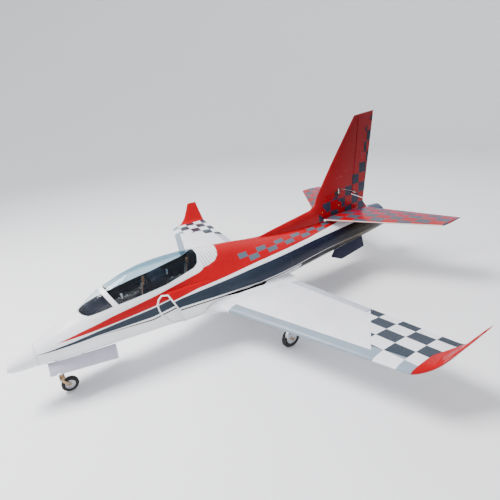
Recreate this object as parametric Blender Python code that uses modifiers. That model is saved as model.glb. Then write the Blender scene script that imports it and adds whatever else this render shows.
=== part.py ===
"""Turbine-powered radio-controlled jet trainer: two metres long and two metres in span.

World frame, in metres: the nose points to -Y, the aircraft's left wing to +X and the fin
to +Z. The wheels stand on Z = 0, and the origin is under the middle of the aircraft.
Positions along the fuselage are stations, measured aft from the tip of the nose.
"""

import math

import bmesh
import bpy
from mathutils import Matrix, Vector

# Driving dimensions
LENGTH = 2.016
GAP = 0.0004            # between pieces that rest on each other
SKIN = 0.003            # fuselage moulding
GLAZING = 0.0022
RING_POINTS = 28        # round one fuselage section

# The fuselage's curves, as (station, value) pairs
TOP_LINE = (
    (0.0, 0.204), (0.012, 0.215), (0.040, 0.231), (0.090, 0.250), (0.164, 0.283), (0.224, 0.305),
    (0.272, 0.321), (0.300, 0.343), (0.357, 0.380), (0.413, 0.400), (0.474, 0.420), (0.555, 0.434),
    (0.626, 0.437), (0.717, 0.434), (0.798, 0.424), (0.878, 0.415), (0.962, 0.406), (1.092, 0.387),
    (1.250, 0.373), (1.500, 0.360), (1.700, 0.357), (1.900, 0.356), (1.992, 0.353),
)
BOTTOM_LINE = (
    (0.0, 0.182), (0.012, 0.176), (0.040, 0.171), (0.090, 0.170), (0.155, 0.161), (0.272, 0.154),
    (0.420, 0.1425), (0.550, 0.133), (0.700, 0.121), (0.800, 0.1175), (0.950, 0.118), (1.090, 0.128),
    (1.350, 0.155), (1.600, 0.178), (1.800, 0.195), (1.900, 0.203), (1.992, 0.212),
)
HALF_WIDTH = (
    (0.0, 0.011), (0.012, 0.019), (0.040, 0.030), (0.090, 0.041), (0.155, 0.060), (0.272, 0.082),
    (0.420, 0.096), (0.550, 0.106), (0.700, 0.111), (0.800, 0.112), (1.090, 0.112), (1.350, 0.103),
    (1.600, 0.092), (1.800, 0.084), (1.900, 0.079), (1.992, 0.071),
)
WAIST_HEIGHT = (
    (0.0, 0.193), (0.090, 0.210), (0.272, 0.236), (0.550, 0.250), (0.800, 0.252), (1.090, 0.262),
    (1.350, 0.278), (1.800, 0.284), (1.992, 0.283),
)
TOP_POWER = ((0.0, 2.0), (0.270, 2.0), (0.450, 1.9), (0.850, 1.85), (1.000, 1.6), (1.992, 1.7))
DUCT_BULGE = ((0.560, 0.030), (0.800, 0.036), (1.090, 0.033), (1.350, 0.020), (1.600, 0.009), (1.900, 0.0))
BULGE_HALF_HEIGHT = 0.078
CHEEK_END = 0.800       # the intake cheeks run back to this station
CHEEK_SEAT = 0.88       # share of the bulge that the fuselage keeps under the cheek's rear edge
MOUTH_TOP = (0.5905, 0.322)         # the intake mouth's upper corner: station, height
MOUTH_RAKE = 0.417                  # how far aft the mouth's edge runs for each metre down
LIP_RADIUS = 0.0034

# Wing, by distance from the centreline
WING_ROOT, WING_TIP = 0.160, 0.898
FAIRING_START = 0.090
LEADING_EDGE = (0.8045, 0.334)      # station at x = 0.21, and sweep
TRAILING_EDGE = (1.190, 0.127)      # station at x = 0.20, and sweep
WING_HEIGHT = (0.200, 0.0165)       # at x = 0.20, and dihedral
WING_THICKNESS = (0.052, -0.035)    # at x = 0.20, and taper
HINGE_LINE = (1.144, 0.1386)        # station at x = 0.19, and sweep
FLAP_SPAN = (0.205, 0.588)
AILERON_SPAN = (0.592, 0.798)

# Tail
STAB_HEIGHT = 0.371
STAB_ROOT, STAB_TIP = 0.026, 0.496
STAB_SPAR_STATION = 1.700
FIN_FOOT, FIN_TOP = 0.352, 0.872
RUDDER_FOOT = 0.462
RUDDER_RAKE = 0.45      # how far the rudder's lower edge falls for each metre aft

# Undercarriage
NOSE_PIVOT = (0.155, 0.197)         # station, height
NOSE_AXLE = (0.173, 0.032)
NOSE_KNEE = (0.148, 0.071)
MAIN_PIVOT = (0.368, 0.186)         # x, height
MAIN_STATION = 1.016
MAIN_KNEE = (0.985, 0.074)          # station, height
MAIN_RADIUS, NOSE_RADIUS = 0.046, 0.032
MAIN_TRACK = 0.348                  # wheel's middle, from the centreline
TYRE_STEPS = 20
WELL_CENTRE, WELL_RADIUS = 0.228, 0.0535
BAY_STATIONS = (0.125, 0.368)
BAY_HALF_WIDTHS = (0.044, 0.056)
DOOR_HINGE = ((0.0450, 0.122, 0.184), (0.0570, 0.371, 0.161))   # x, station, height
DOOR_SWING = math.radians(100)
LEG_NOTCH_RADIUS = 0.0068

# Canopy
CANOPY_HINGE = (0.8785, 0.4195)     # station, height
WING_SPAR_STATION, WING_SPAR_HEIGHT = 0.930, 0.2015

# Fits and shared sizes
WING_TUBE_RADIUS, WING_BORE_RADIUS = 0.0110, 0.0116
STAB_TUBE_RADIUS, STAB_BORE_RADIUS = 0.0050, 0.0056
PIN_RADIUS, PIN_BORE_RADIUS = 0.0030, 0.0037
HINGE_CLEARANCE = 0.0012    # in front of a control surface
END_CLEARANCE = 0.0015      # at the ends of a control surface
DOOR_GAP = 0.0008
ENGINE_HEIGHT = 0.262
VENTRAL_LEAN = math.radians(16)

COLOURS = {
    "white_paint": ((0.86, 0.86, 0.88), 0.22, 0.0),
    "red_paint": ((0.72, 0.02, 0.03), 0.25, 0.0),
    "slate_paint": ((0.16, 0.20, 0.27), 0.28, 0.0),
    "navy_paint": ((0.02, 0.025, 0.09), 0.3, 0.0),
    "cockpit_black": ((0.012, 0.013, 0.02), 0.6, 0.0),
    "tan_leather": ((0.42, 0.24, 0.15), 0.6, 0.0),
    "glazing": ((0.45, 0.60, 0.68), 0.05, 0.0),
    "alloy": ((0.75, 0.76, 0.78), 0.3, 1.0),
    "steel": ((0.55, 0.55, 0.56), 0.35, 1.0),
    "bronze": ((0.45, 0.33, 0.20), 0.35, 1.0),
    "tyre_rubber": ((0.02, 0.02, 0.02), 0.8, 0.0),
    "white_nylon": ((0.85, 0.85, 0.83), 0.4, 0.0),
    "carbon": ((0.03, 0.03, 0.035), 0.35, 0.0),
    "tank_nylon": ((0.80, 0.78, 0.70), 0.4, 0.0),
    "pack_blue": ((0.04, 0.10, 0.35), 0.4, 0.0),
}


# Scene set-up and small tools

def clear_scene():
    for old in list(bpy.data.objects):
        bpy.data.objects.remove(old, do_unlink=True)


clear_scene()
PARTS = bpy.data.collections.new("rc_jet_plane")
CUTTERS = bpy.data.collections.new("cutters")
for collection in (PARTS, CUTTERS):
    bpy.context.scene.collection.children.link(collection)


def material(name):
    found = bpy.data.materials.get(name)
    if found:
        return found
    colour, roughness, metallic = COLOURS[name]
    made = bpy.data.materials.new(name)
    made.use_nodes = True
    shader = made.node_tree.nodes["Principled BSDF"]
    shader.inputs["Base Color"].default_value = (*colour, 1.0)
    shader.inputs["Roughness"].default_value = roughness
    shader.inputs["Metallic"].default_value = metallic
    return made


def at(station):
    """World Y of a station."""
    return station - LENGTH / 2


def curve_value(points, station):
    """Monotone cubic through the (station, value) pairs, held level past both ends."""
    if station <= points[0][0]:
        return points[0][1]
    if station >= points[-1][0]:
        return points[-1][1]
    index = max(i for i in range(len(points) - 1) if points[i][0] <= station)
    slopes = [(b[1] - a[1]) / (b[0] - a[0]) for a, b in zip(points, points[1:])]

    def tangent(i):
        if i in (0, len(points) - 1):
            return slopes[min(i, len(slopes) - 1)]
        before, after = slopes[i - 1], slopes[i]
        return 0.0 if before * after <= 0 else 2 * before * after / (before + after)

    (x0, y0), (x1, y1) = points[index], points[index + 1]
    span = x1 - x0
    t = (station - x0) / span
    return (
        y0 * (1 + 2 * t) * (1 - t) ** 2 + y1 * t * t * (3 - 2 * t)
        + span * t * (1 - t) * ((1 - t) * tangent(index) - t * tangent(index + 1))
    )


def add_object(name, mesh, paint=None, origin=(0, 0, 0)):
    """A part, or a cutter when it has no paint, with its origin on the given world point."""
    mesh.transform(Matrix.Translation(-Vector(origin)))
    made = bpy.data.objects.new(name, mesh)
    made.location = origin
    if paint:
        mesh.materials.append(material(paint))
        PARTS.objects.link(made)
    else:
        made.hide_render = True
        made.display_type = "WIRE"
        CUTTERS.objects.link(made)
    return made


def finish_mesh(shape, name, smooth_angle=35):
    bmesh.ops.recalc_face_normals(shape, faces=shape.faces)
    mesh = bpy.data.meshes.new(name)
    shape.to_mesh(mesh)
    shape.free()
    mesh.shade_smooth()
    mesh.set_sharp_from_angle(angle=math.radians(smooth_angle))
    return mesh


def loft(name, rings, paint=None, origin=(0, 0, 0), closed_ends=True, in_triangles=False):
    """Skin over rings of equal point counts. Triangles keep twisted surfaces alike in every copy."""
    shape = bmesh.new()
    rows = [[shape.verts.new(point) for point in ring] for ring in rings]
    count = len(rows[0])
    for row, following in zip(rows, rows[1:]):
        for i in range(count):
            j = (i + 1) % count
            if in_triangles:
                shape.faces.new((row[i], row[j], following[j]))
                shape.faces.new((row[i], following[j], following[i]))
            else:
                shape.faces.new((row[i], row[j], following[j], following[i]))
    if closed_ends:
        shape.faces.new(rows[0])
        shape.faces.new(rows[-1])
    return add_object(name, finish_mesh(shape, name), paint, origin)


def block(name, low, high, paint=None, origin=(0, 0, 0), bevel=0.0):
    """Box between two corners, given as x, station, height."""
    shape = bmesh.new()
    bmesh.ops.create_cube(shape, size=1)
    size = [b - a for a, b in zip(low, high)]
    middle = [(a + b) / 2 for a, b in zip(low, high)]
    middle[1] = at(middle[1])
    bmesh.ops.scale(shape, vec=size, verts=shape.verts)
    bmesh.ops.translate(shape, vec=middle, verts=shape.verts)
    made = add_object(name, finish_mesh(shape, name), paint, origin)
    if bevel:
        rounding = made.modifiers.new("rounding", "BEVEL")
        rounding.width = bevel
        rounding.segments = 2
    return made


def rod(name, start, end, radius, paint=None, origin=(0, 0, 0), sides=16, end_radius=None):
    """Cylinder or cone between two points, given as x, station, height."""
    first = Vector((start[0], at(start[1]), start[2]))
    last = Vector((end[0], at(end[1]), end[2]))
    along = last - first
    turn = Vector((0, 0, 1)).rotation_difference(along).to_matrix().to_4x4()
    shape = bmesh.new()
    bmesh.ops.create_cone(
        shape, cap_ends=True, segments=sides, radius1=radius,
        radius2=radius if end_radius is None else end_radius, depth=along.length,
        matrix=Matrix.Translation((first + last) / 2) @ turn,
    )
    return add_object(name, finish_mesh(shape, name), paint, origin)


def turned(name, profile, centre, axis, paint, steps=28, closed=False):
    """Profile of (radius, distance along the axis) turned about an axis, X or Y, through a point."""
    shape = bmesh.new()
    points = [shape.verts.new((radius, 0, along)) for radius, along in profile]
    for first, second in zip(points, points[1:]):
        shape.edges.new((first, second))
    if closed:
        shape.edges.new((points[-1], points[0]))
    mesh = bpy.data.meshes.new(name)
    shape.to_mesh(mesh)
    shape.free()
    made = add_object(name, mesh, paint)
    made.location = (centre[0], at(centre[1]), centre[2])
    made.rotation_euler = (0, math.pi / 2, 0) if axis == "X" else (-math.pi / 2, 0, 0)
    screw = made.modifiers.new("turning", "SCREW")
    screw.steps = screw.render_steps = steps
    screw.use_merge_vertices = True
    screw.merge_threshold = 0.0001
    screw.use_smooth_shade = True
    return made


def boolean(target, other, operation="DIFFERENCE"):
    """Cuts, joins or keeps what two shapes share, and turns the other one into a guide."""
    step = target.modifiers.new(operation.lower(), "BOOLEAN")
    step.operation = operation
    step.object = other
    step.solver = "EXACT"
    if other.name in PARTS.objects:
        PARTS.objects.unlink(other)
        CUTTERS.objects.link(other)
        other.hide_render = True
        other.display_type = "WIRE"
    return target


def join(target, *others):
    for other in others:
        boolean(target, other, "UNION")
    return target


def cut(target, *others):
    for other in others:
        boolean(target, other)
    return target


def baked(made):
    """Applies an object's modifiers, so that its mesh can be turned with nothing left behind."""
    bpy.context.view_layer.update()
    evaluated = made.evaluated_get(bpy.context.evaluated_depsgraph_get())
    mesh = bpy.data.meshes.new_from_object(evaluated)
    made.modifiers.clear()
    made.data = mesh
    return made


def side_prism(name, outline, x_low=-0.3, x_high=0.3):
    """Cutter with a side-view outline of (station, height) points."""
    return loft(name, [[(x, at(s), z) for s, z in outline] for x in (x_low, x_high)])


def plan_prism(name, outline, low, high):
    """Cutter with a plan-view outline of (x, station) points."""
    return loft(name, [[(x, at(s), z) for x, s in outline] for z in (low, high)])


SIDES = (("left", 1), ("right", -1))


# Fuselage surface

def hull_bulge(station):
    """Duct bulge of the fuselage itself, which is stepped down under the intake cheeks."""
    full = curve_value(DUCT_BULGE, station)
    if station > CHEEK_END:
        return full
    rise = min(max((station - 0.64) / (CHEEK_END - 0.64), 0.0), 1.0)
    return full * CHEEK_SEAT * rise * rise * (3 - 2 * rise)


def full_bulge(station):
    return curve_value(DUCT_BULGE, station)


def hull_ring(station, inset=0.0, bulge=hull_bulge, points=RING_POINTS):
    """One fuselage section: an oval with a duct shoulder on each side."""
    top = curve_value(TOP_LINE, station) - inset
    bottom = curve_value(BOTTOM_LINE, station) + inset
    width = curve_value(HALF_WIDTH, station) - inset
    waist = curve_value(WAIST_HEIGHT, station)
    power = 2 / curve_value(TOP_POWER, station)
    ring = []
    for i in range(points):
        angle = 2 * math.pi * i / points
        sine, cosine = math.sin(angle), math.cos(angle)
        if cosine >= 0:
            x = width * math.copysign(abs(sine) ** power, sine)
            z = waist + (top - waist) * cosine ** power
        else:
            x = width * sine
            z = waist + (waist - bottom) * cosine
        reach = (z - waist + 0.008) / BULGE_HALF_HEIGHT
        x += bulge(station) * math.tanh(6 * sine) / (1 + reach ** 4)
        ring.append((x, at(station), z))
    return ring


def hull(name, stations, paint=None, inset=0.0, bulge=hull_bulge, closed_ends=True, thickness=0.0):
    rings = [hull_ring(s, inset, bulge) for s in stations]
    made = loft(name, rings, paint, closed_ends=closed_ends, in_triangles=True)
    if thickness:
        shell = made.modifiers.new("wall", "SOLIDIFY")
        shell.thickness = thickness
        shell.offset = -1
        shell.use_even_offset = True
    return made


def spaced(start, end, count):
    return [start + (end - start) * i / (count - 1) for i in range(count)]


BODY_STATIONS = (
    [0.1003] + spaced(0.14, 0.272, 3) + [0.300] + spaced(0.36, 0.76, 6)
    + [CHEEK_END - 0.0005, CHEEK_END + 0.0005] + spaced(0.92, 1.60, 6) + [1.75, 1.90]
)


def clearance_hull():
    """Solid a hair larger than the fuselage, which trims what sits on it."""
    return hull("hull_clearance", [0.05] + BODY_STATIONS[1:] + [1.95], inset=-GAP)


# Wing surface

def airfoil_half(fraction):
    """Half thickness of a symmetric section, for unit thickness, at a fraction of the chord."""
    root = math.sqrt(fraction)
    f = fraction
    return 5 * (0.2969 * root - 0.126 * f - 0.3516 * f ** 2 + 0.2843 * f ** 3 - 0.1015 * f ** 4)


def airfoil_ring(chord_points=11):
    """(chord fraction, sign) pairs from the trailing edge over the top and back underneath."""
    fractions = [(1 - math.cos(math.pi * i / (chord_points - 1))) / 2 for i in range(chord_points)]
    return [(f, 1) for f in reversed(fractions)] + [(f, -1) for f in fractions[1:]]


def wing_station(x):
    """Leading edge, trailing edge, mid height and thickness of the wing at x."""
    fillet = max(x - 0.150, 0.0)
    lead = LEADING_EDGE[0] + LEADING_EDGE[1] * (x - 0.21) - 0.050 * math.exp(-fillet / 0.025)
    trail = TRAILING_EDGE[0] + TRAILING_EDGE[1] * (x - 0.20) + 0.030 * math.exp(-fillet / 0.020)
    height = WING_HEIGHT[0] + WING_HEIGHT[1] * (x - 0.20)
    thickness = WING_THICKNESS[0] + WING_THICKNESS[1] * (x - 0.20) + 0.020 * math.exp(-fillet / 0.015)
    return lead, trail, height, thickness


def wing_ring(x, side, grow=0.0):
    lead, trail, height, thickness = wing_station(x)
    lead, chord = lead - grow, trail - lead + 2 * grow
    return [
        (side * x, at(lead + chord * f), height + sign * (thickness * airfoil_half(f) + 0.0004 + grow))
        for f, sign in airfoil_ring()
    ]


def hinge_station(x):
    return HINGE_LINE[0] + HINGE_LINE[1] * (x - 0.19)


def wing_loft(name, side, paint=None, start=WING_ROOT, end=WING_TIP, grow=0.0):
    spans = [x for x in (0.150, 0.160, 0.168, 0.180, 0.200, 0.240, 0.420, 0.640) if start < x < end]
    return loft(name, [wing_ring(x, side, grow) for x in (start, *spans, end)], paint)


def surface_nose(name, ends, half_angle):
    """Cutter that leaves a V-shaped nose along a hinge line between two points (x, station, z)."""
    depth, rear = 0.05, 0.16
    back = depth * math.tan(math.radians(half_angle))
    rings = []
    for x, station, z in ends:
        rings.append([
            (x, at(station), z), (x, at(station + back), z + depth), (x, at(station + rear), z + depth),
            (x, at(station + rear), z - depth), (x, at(station + back), z - depth),
        ])
    return loft(name, rings)


# Fuselage pieces

def build_fuselage():
    """Hollow moulding with the cockpit, nose bay and wing-root fairings."""
    body = hull("fuselage_shell", BODY_STATIONS, "white_paint", closed_ends=False, thickness=SKIN)
    for label, side in SIDES:
        join(body, root_fairing(f"root_fairing_{label}", side))
    cut(body, side_prism("cockpit_opening", HATCH_LINE + HATCH_ROOF))
    front, rear = BAY_STATIONS
    near, far = BAY_HALF_WIDTHS
    cut(body, plan_prism("nose_bay", [(-near, front), (near, front), (far, rear), (-far, rear)], 0.10, 0.200))
    spar = rod("spar_bore", (-0.3, WING_SPAR_STATION, WING_SPAR_HEIGHT),
               (0.3, WING_SPAR_STATION, WING_SPAR_HEIGHT), WING_BORE_RADIUS)
    cut(body, spar)
    for label, side in SIDES:
        cut(body, duct_hole(label, side))
    return body


def root_fairing(name, side, grow=0.0):
    """Stub of the wing's root section that the fuselage moulding carries."""
    return wing_loft(name, side, start=FAIRING_START, end=WING_ROOT - GAP, grow=grow)


def duct_hole(label, side):
    """Where each intake duct passes through the fuselage wall."""
    low, high = sorted((side * 0.06, side * 0.1395))
    return block(f"duct_hole_{label}", (low, 0.735, 0.20), (high, 0.785, 0.285))


HATCH_LINE = (
    (0.262, 0.3155), (0.330, 0.3035), (0.408, 0.316), (0.604, 0.337), (0.759, 0.366),
    (0.805, 0.371), (0.836, 0.377), (0.860, 0.392), (0.876, 0.4175),
)
HATCH_ROOF = ((0.876, 0.6), (0.262, 0.6))
# The raked arch stands between the windscreen's rear edge and the window's front edge.
WINDSCREEN_LINE = ((0.272, 0.3215), (0.300, 0.3165), (0.390, 0.3303), (0.330, 0.450), (0.272, 0.450))
WINDOW_LINE = ((0.410, 0.3312), (0.604, 0.3510), (0.735, 0.3775), (0.757, 0.3900), (0.772, 0.4150),
               (0.786, 0.60), (0.3505, 0.450))


def shifted_outline(outline, amount):
    """Moves a convex outline's points towards their middle."""
    centre_s = sum(s for s, z in outline) / len(outline)
    floor = min(z for s, z in outline)
    return [
        (s + math.copysign(amount, centre_s - s), z + (amount if z < floor + 0.15 else 0.0))
        for s, z in outline
    ]


def canopy_skin(name, paint, thickness, inset=0.0):
    stations = [0.250] + spaced(0.264, 0.420, 7) + spaced(0.47, 0.90, 9)
    return hull(name, stations, paint, inset, closed_ends=False, thickness=thickness)


def build_canopy():
    hatch = side_prism("hatch_region", shifted_outline(HATCH_LINE + HATCH_ROOF, GAP))
    windows = {
        "windscreen_glass": WINDSCREEN_LINE,
        "canopy_glass": WINDOW_LINE,
    }
    frame = canopy_skin("canopy_frame", "white_paint", 0.0034)
    boolean(frame, hatch, "INTERSECT")
    for name, outline in windows.items():
        cut(frame, side_prism(f"{name}_opening", outline))
        pane = canopy_skin(name, "glazing", GLAZING, inset=0.0002)
        boolean(pane, side_prism(f"{name}_region", shifted_outline(outline, GAP)), "INTERSECT")
        set_origin(baked(pane), (0, at(CANOPY_HINGE[0]), CANOPY_HINGE[1]))
    set_origin(baked(frame), (0, at(CANOPY_HINGE[0]), CANOPY_HINGE[1]))


def set_origin(made, origin):
    """Moves a baked object's origin without moving its shape."""
    made.data.transform(Matrix.Translation(made.location - Vector(origin)))
    made.location = origin


def build_nose_and_tail():
    nose = hull("nose_cone", [0.0, 0.004, 0.012, 0.026, 0.045, 0.07, 0.0997], "white_paint")
    cut(nose, hull("nose_hollow", [0.014, 0.026, 0.045, 0.07, 0.12], inset=SKIN))
    hull("tail_cone", [1.9003, 1.93, 1.96, 1.98, 1.992], "slate_paint", closed_ends=False, thickness=SKIN)


def build_intakes():
    """Cheek fairings outside the fuselage wall, with a white lip round each mouth."""
    stations = spaced(0.565, 0.86, 7)
    for label, side in SIDES:
        cheek = hull(f"intake_cheek_{label}", stations, "white_paint", bulge=full_bulge)
        outline = (MOUTH_TOP, (mouth_station(0.160), 0.160), (0.672, 0.145), (CHEEK_END - GAP, 0.145),
                   (CHEEK_END - GAP, MOUTH_TOP[1]))
        low, high = sorted((side * 0.05, side * 0.2))
        boolean(cheek, side_prism(f"cheek_region_{label}", outline, low, high), "INTERSECT")
        duct = hull(f"duct_{label}", stations, bulge=full_bulge, inset=0.0035)
        duct_outline = ((0.56, 0.308), (0.56, 0.168), (0.790, 0.168), (0.790, 0.308))
        boolean(duct, side_prism(f"duct_region_{label}", duct_outline, low, high), "INTERSECT")
        cut(cheek, duct)
        join(cheek, intake_lip(label, side))
        cut(cheek, clearance_hull(), root_fairing(f"fairing_relief_{label}", side, GAP))


def flank(station, height, bulge):
    """Half width of the fuselage section at a height."""
    waist = curve_value(WAIST_HEIGHT, station)
    width = curve_value(HALF_WIDTH, station)
    if height > waist:
        power = curve_value(TOP_POWER, station)
        share = (height - waist) / (curve_value(TOP_LINE, station) - waist)
        x = width * (1 - share ** power) ** (1 / power)
    else:
        share = (waist - height) / (waist - curve_value(BOTTOM_LINE, station))
        x = width * math.sqrt(1 - share ** 2)
    reach = (height - waist + 0.008) / BULGE_HALF_HEIGHT
    return x + bulge(station) / (1 + reach ** 4)


def mouth_station(height):
    """The cheek's raked front edge."""
    return MOUTH_TOP[0] + (MOUTH_TOP[1] - height) * MOUTH_RAKE


def intake_lip(label, side):
    """Rounded frame of the mouth: along the cheek's front edge and back over the fuselage side."""
    route = [
        (flank(mouth_station(z), z, full_bulge) - LIP_RADIUS / 2, mouth_station(z), z)
        for z in spaced(0.318, 0.160, 8)
    ]
    seat = ((0.640, 0.155), (0.620, 0.161), (0.602, 0.173), (0.585, 0.190), (0.570, 0.217), (0.556, 0.240),
            (0.549, 0.262), (0.547, 0.288), (0.556, 0.306), (0.570, 0.317))
    route += [(flank(s, z, hull_bulge) + LIP_RADIUS / 3, s, z) for s, z in seat]
    data = bpy.data.curves.new("lip", "CURVE")
    data.dimensions = "3D"
    data.bevel_depth = LIP_RADIUS
    data.bevel_resolution = 1
    spline = data.splines.new("POLY")
    spline.points.add(len(route) - 1)
    for point, (x, station, z) in zip(spline.points, route):
        point.co = (side * x, at(station), z, 1)
    spline.use_cyclic_u = True
    tube = bpy.data.objects.new("lip", data)
    CUTTERS.objects.link(tube)
    bpy.context.view_layer.update()
    mesh = bpy.data.meshes.new_from_object(tube.evaluated_get(bpy.context.evaluated_depsgraph_get()))
    bpy.data.objects.remove(tube)
    shape = bmesh.new()
    shape.from_mesh(mesh)
    bmesh.ops.remove_doubles(shape, verts=shape.verts, dist=0.00005)
    return add_object(f"intake_lip_{label}", finish_mesh(shape, "lip", 60))


def build_cockpit():
    """Tub with the glare shield in front and the bulkhead behind the rear seat."""
    def tub_rings(wall):
        rings = []
        for station, rim, floor in ((0.386, 0.070, 0.262), (0.60, 0.080, 0.272), (0.772, 0.080, 0.292)):
            half, low = rim - wall, 0.058 - wall
            top = curve_value(HATCH_LINE, station) - 0.004 + (0.02 if wall else 0)
            shift = math.copysign(wall, 0.58 - station) if station in (0.386, 0.772) else 0
            y = at(station + shift)
            rings.append([(-half, y, top), (half, y, top), (low, y, floor + wall), (-low, y, floor + wall)])
        return rings

    tub = loft("cockpit_tub", tub_rings(0), "cockpit_black")
    cut(tub, loft("tub_inside", tub_rings(0.003)))
    shield = []
    for station, half, base, top in ((0.284, 0.030, 0.300, 0.312), (0.305, 0.047, 0.300, 0.326),
                                     (0.340, 0.064, 0.300, 0.340), (0.3895, 0.073, 0.300, 0.352)):
        edge = 0.312
        arc = [math.pi * i / 6 for i in range(7)]
        shield.append(
            [(half * math.cos(a), at(station), edge + (top - edge) * math.sin(a)) for a in arc]
            + [(-half, at(station), base), (half, at(station), base)]
        )
    join(tub, loft("glare_shield", shield))
    bulkhead = []
    for station in (0.7685, 0.7735):
        bulkhead.append(sorted(point for point in hull_ring(station, 0.0085, points=56) if point[2] > 0.345))
    join(tub, loft("rear_bulkhead", bulkhead))


def seat(name, station, floor, height):
    """Seat with a padded back on a pan."""
    front, rear = station - 0.046, station + 0.006
    made = block(name, (-0.027, front, floor), (0.027, rear, floor + 0.014), "tan_leather")
    rings = []
    for z, aft, half in ((floor + 0.004, 0.0, 0.026), (floor + 0.05, 0.004, 0.027),
                         (floor + height - 0.02, 0.012, 0.024), (floor + height, 0.016, 0.014)):
        rings.append([(-half, at(station - 0.006 + aft), z), (half, at(station - 0.006 + aft), z),
                      (half, at(station + 0.010 + aft), z), (-half, at(station + 0.010 + aft), z)])
    join(made, loft(f"{name}_back", rings))


def stick(name, station, floor, top):
    """Control column with a moulded grip."""
    made = rod(name, (0, station, floor), (0, station, top - 0.016), 0.0018, "alloy", sides=10)
    grip = rod(f"{name}_grip", (0, station, top - 0.020), (0, station - 0.002, top), 0.0036,
               sides=12, end_radius=0.0048)
    boot = rod(f"{name}_boot", (0, station, floor), (0, station, floor + 0.008), 0.010, sides=12,
               end_radius=0.004)
    join(made, grip, boot)


def build_cockpit_fittings():
    seat("seat_front", 0.530, 0.2725, 0.110)
    seat("seat_rear", 0.732, 0.2935, 0.108)
    stick("stick_front", 0.442, 0.2690, 0.336)
    stick("stick_rear", 0.643, 0.2840, 0.375)
    hood = []
    for station, half, top, base in ((0.562, 0.040, 0.368, 0.300), (0.585, 0.044, 0.381, 0.290),
                                     (0.612, 0.044, 0.384, 0.330), (0.626, 0.042, 0.380, 0.355)):
        arc = [math.pi * i / 6 for i in range(7)]
        shoulder = top - 0.022
        hood.append(
            [(half * math.cos(a), at(station), shoulder + (top - shoulder) * math.sin(a)) for a in arc]
            + [(-half, at(station), base - 0.002), (half, at(station), base - 0.002)]
        )
    panel = loft("instrument_hood", hood, "cockpit_black")
    join(panel, block("hood_pedestal", (-0.012, 0.566, 0.2745), (0.012, 0.580, 0.320)))


# Wing pieces

def build_wing(label, side):
    wing = wing_loft(f"wing_{label}", side, "white_paint")
    inner, outer = FLAP_SPAN[0] - END_CLEARANCE, AILERON_SPAN[1] + END_CLEARANCE
    bay = [(side * x, hinge_station(x) - HINGE_CLEARANCE) for x in (inner, outer)]
    bay += [(side * outer, 1.40), (side * inner, 1.40)]
    well = rod(f"wheel_well_{label}", (side * WELL_CENTRE, MAIN_STATION, 0.12),
               (side * WELL_CENTRE, MAIN_STATION, 0.2178), WELL_RADIUS, sides=24)
    slot_low, slot_high = sorted((side * 0.26, side * 0.424))
    slot = block(f"leg_slot_{label}", (slot_low, 0.961, 0.12), (slot_high, 1.036, 0.2125))
    spar = rod(f"wing_bore_{label}", (side * 0.1, WING_SPAR_STATION, WING_SPAR_HEIGHT),
               (side * 0.402, WING_SPAR_STATION, WING_SPAR_HEIGHT), WING_BORE_RADIUS)
    cut(wing, plan_prism(f"hinge_bay_{label}", bay, 0.1, 0.3), well, slot, spar)


def control_surface(name, label, side, span, half_angle):
    """Flap or aileron: the wing's own section behind the hinge line, with a V-shaped nose."""
    ends = [(side * x, hinge_station(x), wing_station(x)[2]) for x in span]
    middle = [sum(values) / 2 for values in zip(*ends)]
    made = wing_loft(f"{name}_{label}", side, "white_paint")
    boolean(made, surface_nose(f"{name}_nose_{label}", ends, half_angle), "INTERSECT")
    set_origin(baked(made), (middle[0], at(middle[1]), middle[2]))


def build_winglet(label, side):
    """Wing tip that curls up into a swept winglet."""
    sections = (     # x, height, leading edge, trailing edge, tilt, thickness
        (WING_TIP + GAP, 0.2115, 1.0345, 1.2787, 0, 0.0275), (0.912, 0.2125, 1.056, 1.2805, 8, 0.0240),
        (0.928, 0.2175, 1.092, 1.2815, 30, 0.0190), (0.9405, 0.2300, 1.122, 1.2810, 50, 0.0140),
        (0.953, 0.2500, 1.146, 1.2790, 58, 0.0105), (0.975, 0.2880, 1.176, 1.2750, 60, 0.0080),
        (0.992, 0.3190, 1.197, 1.2720, 61, 0.0060), (1.0005, 0.3345, 1.208, 1.2705, 61, 0.0040),
    )
    rings = []
    for x, height, lead, trail, tilt, thickness in sections:
        lean = math.radians(tilt)
        chord = trail - lead
        ring = []
        for f, sign in airfoil_ring(9):
            half = sign * (thickness * airfoil_half(f) + 0.0004)
            across, up = x - half * math.sin(lean), height + half * math.cos(lean)
            ring.append((side * across, at(lead + chord * f), up))
        rings.append(ring)
    loft(f"winglet_{label}", rings, "red_paint")


# Tail pieces

def stab_ring(x, side):
    share = (x - 0.03) / (STAB_TIP - 0.03)
    lead, trail = 1.530 + 0.308 * share, 1.850 + 0.147 * share
    thickness = 0.022 - 0.010 * share
    return [
        (side * x, at(lead + (trail - lead) * f), STAB_HEIGHT + 0.004 * share
         + sign * (thickness * airfoil_half(f) + 0.0004))
        for f, sign in airfoil_ring(9)
    ]


def elevator_station(x):
    return 1.762 + 0.3975 * (x - 0.03)


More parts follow.
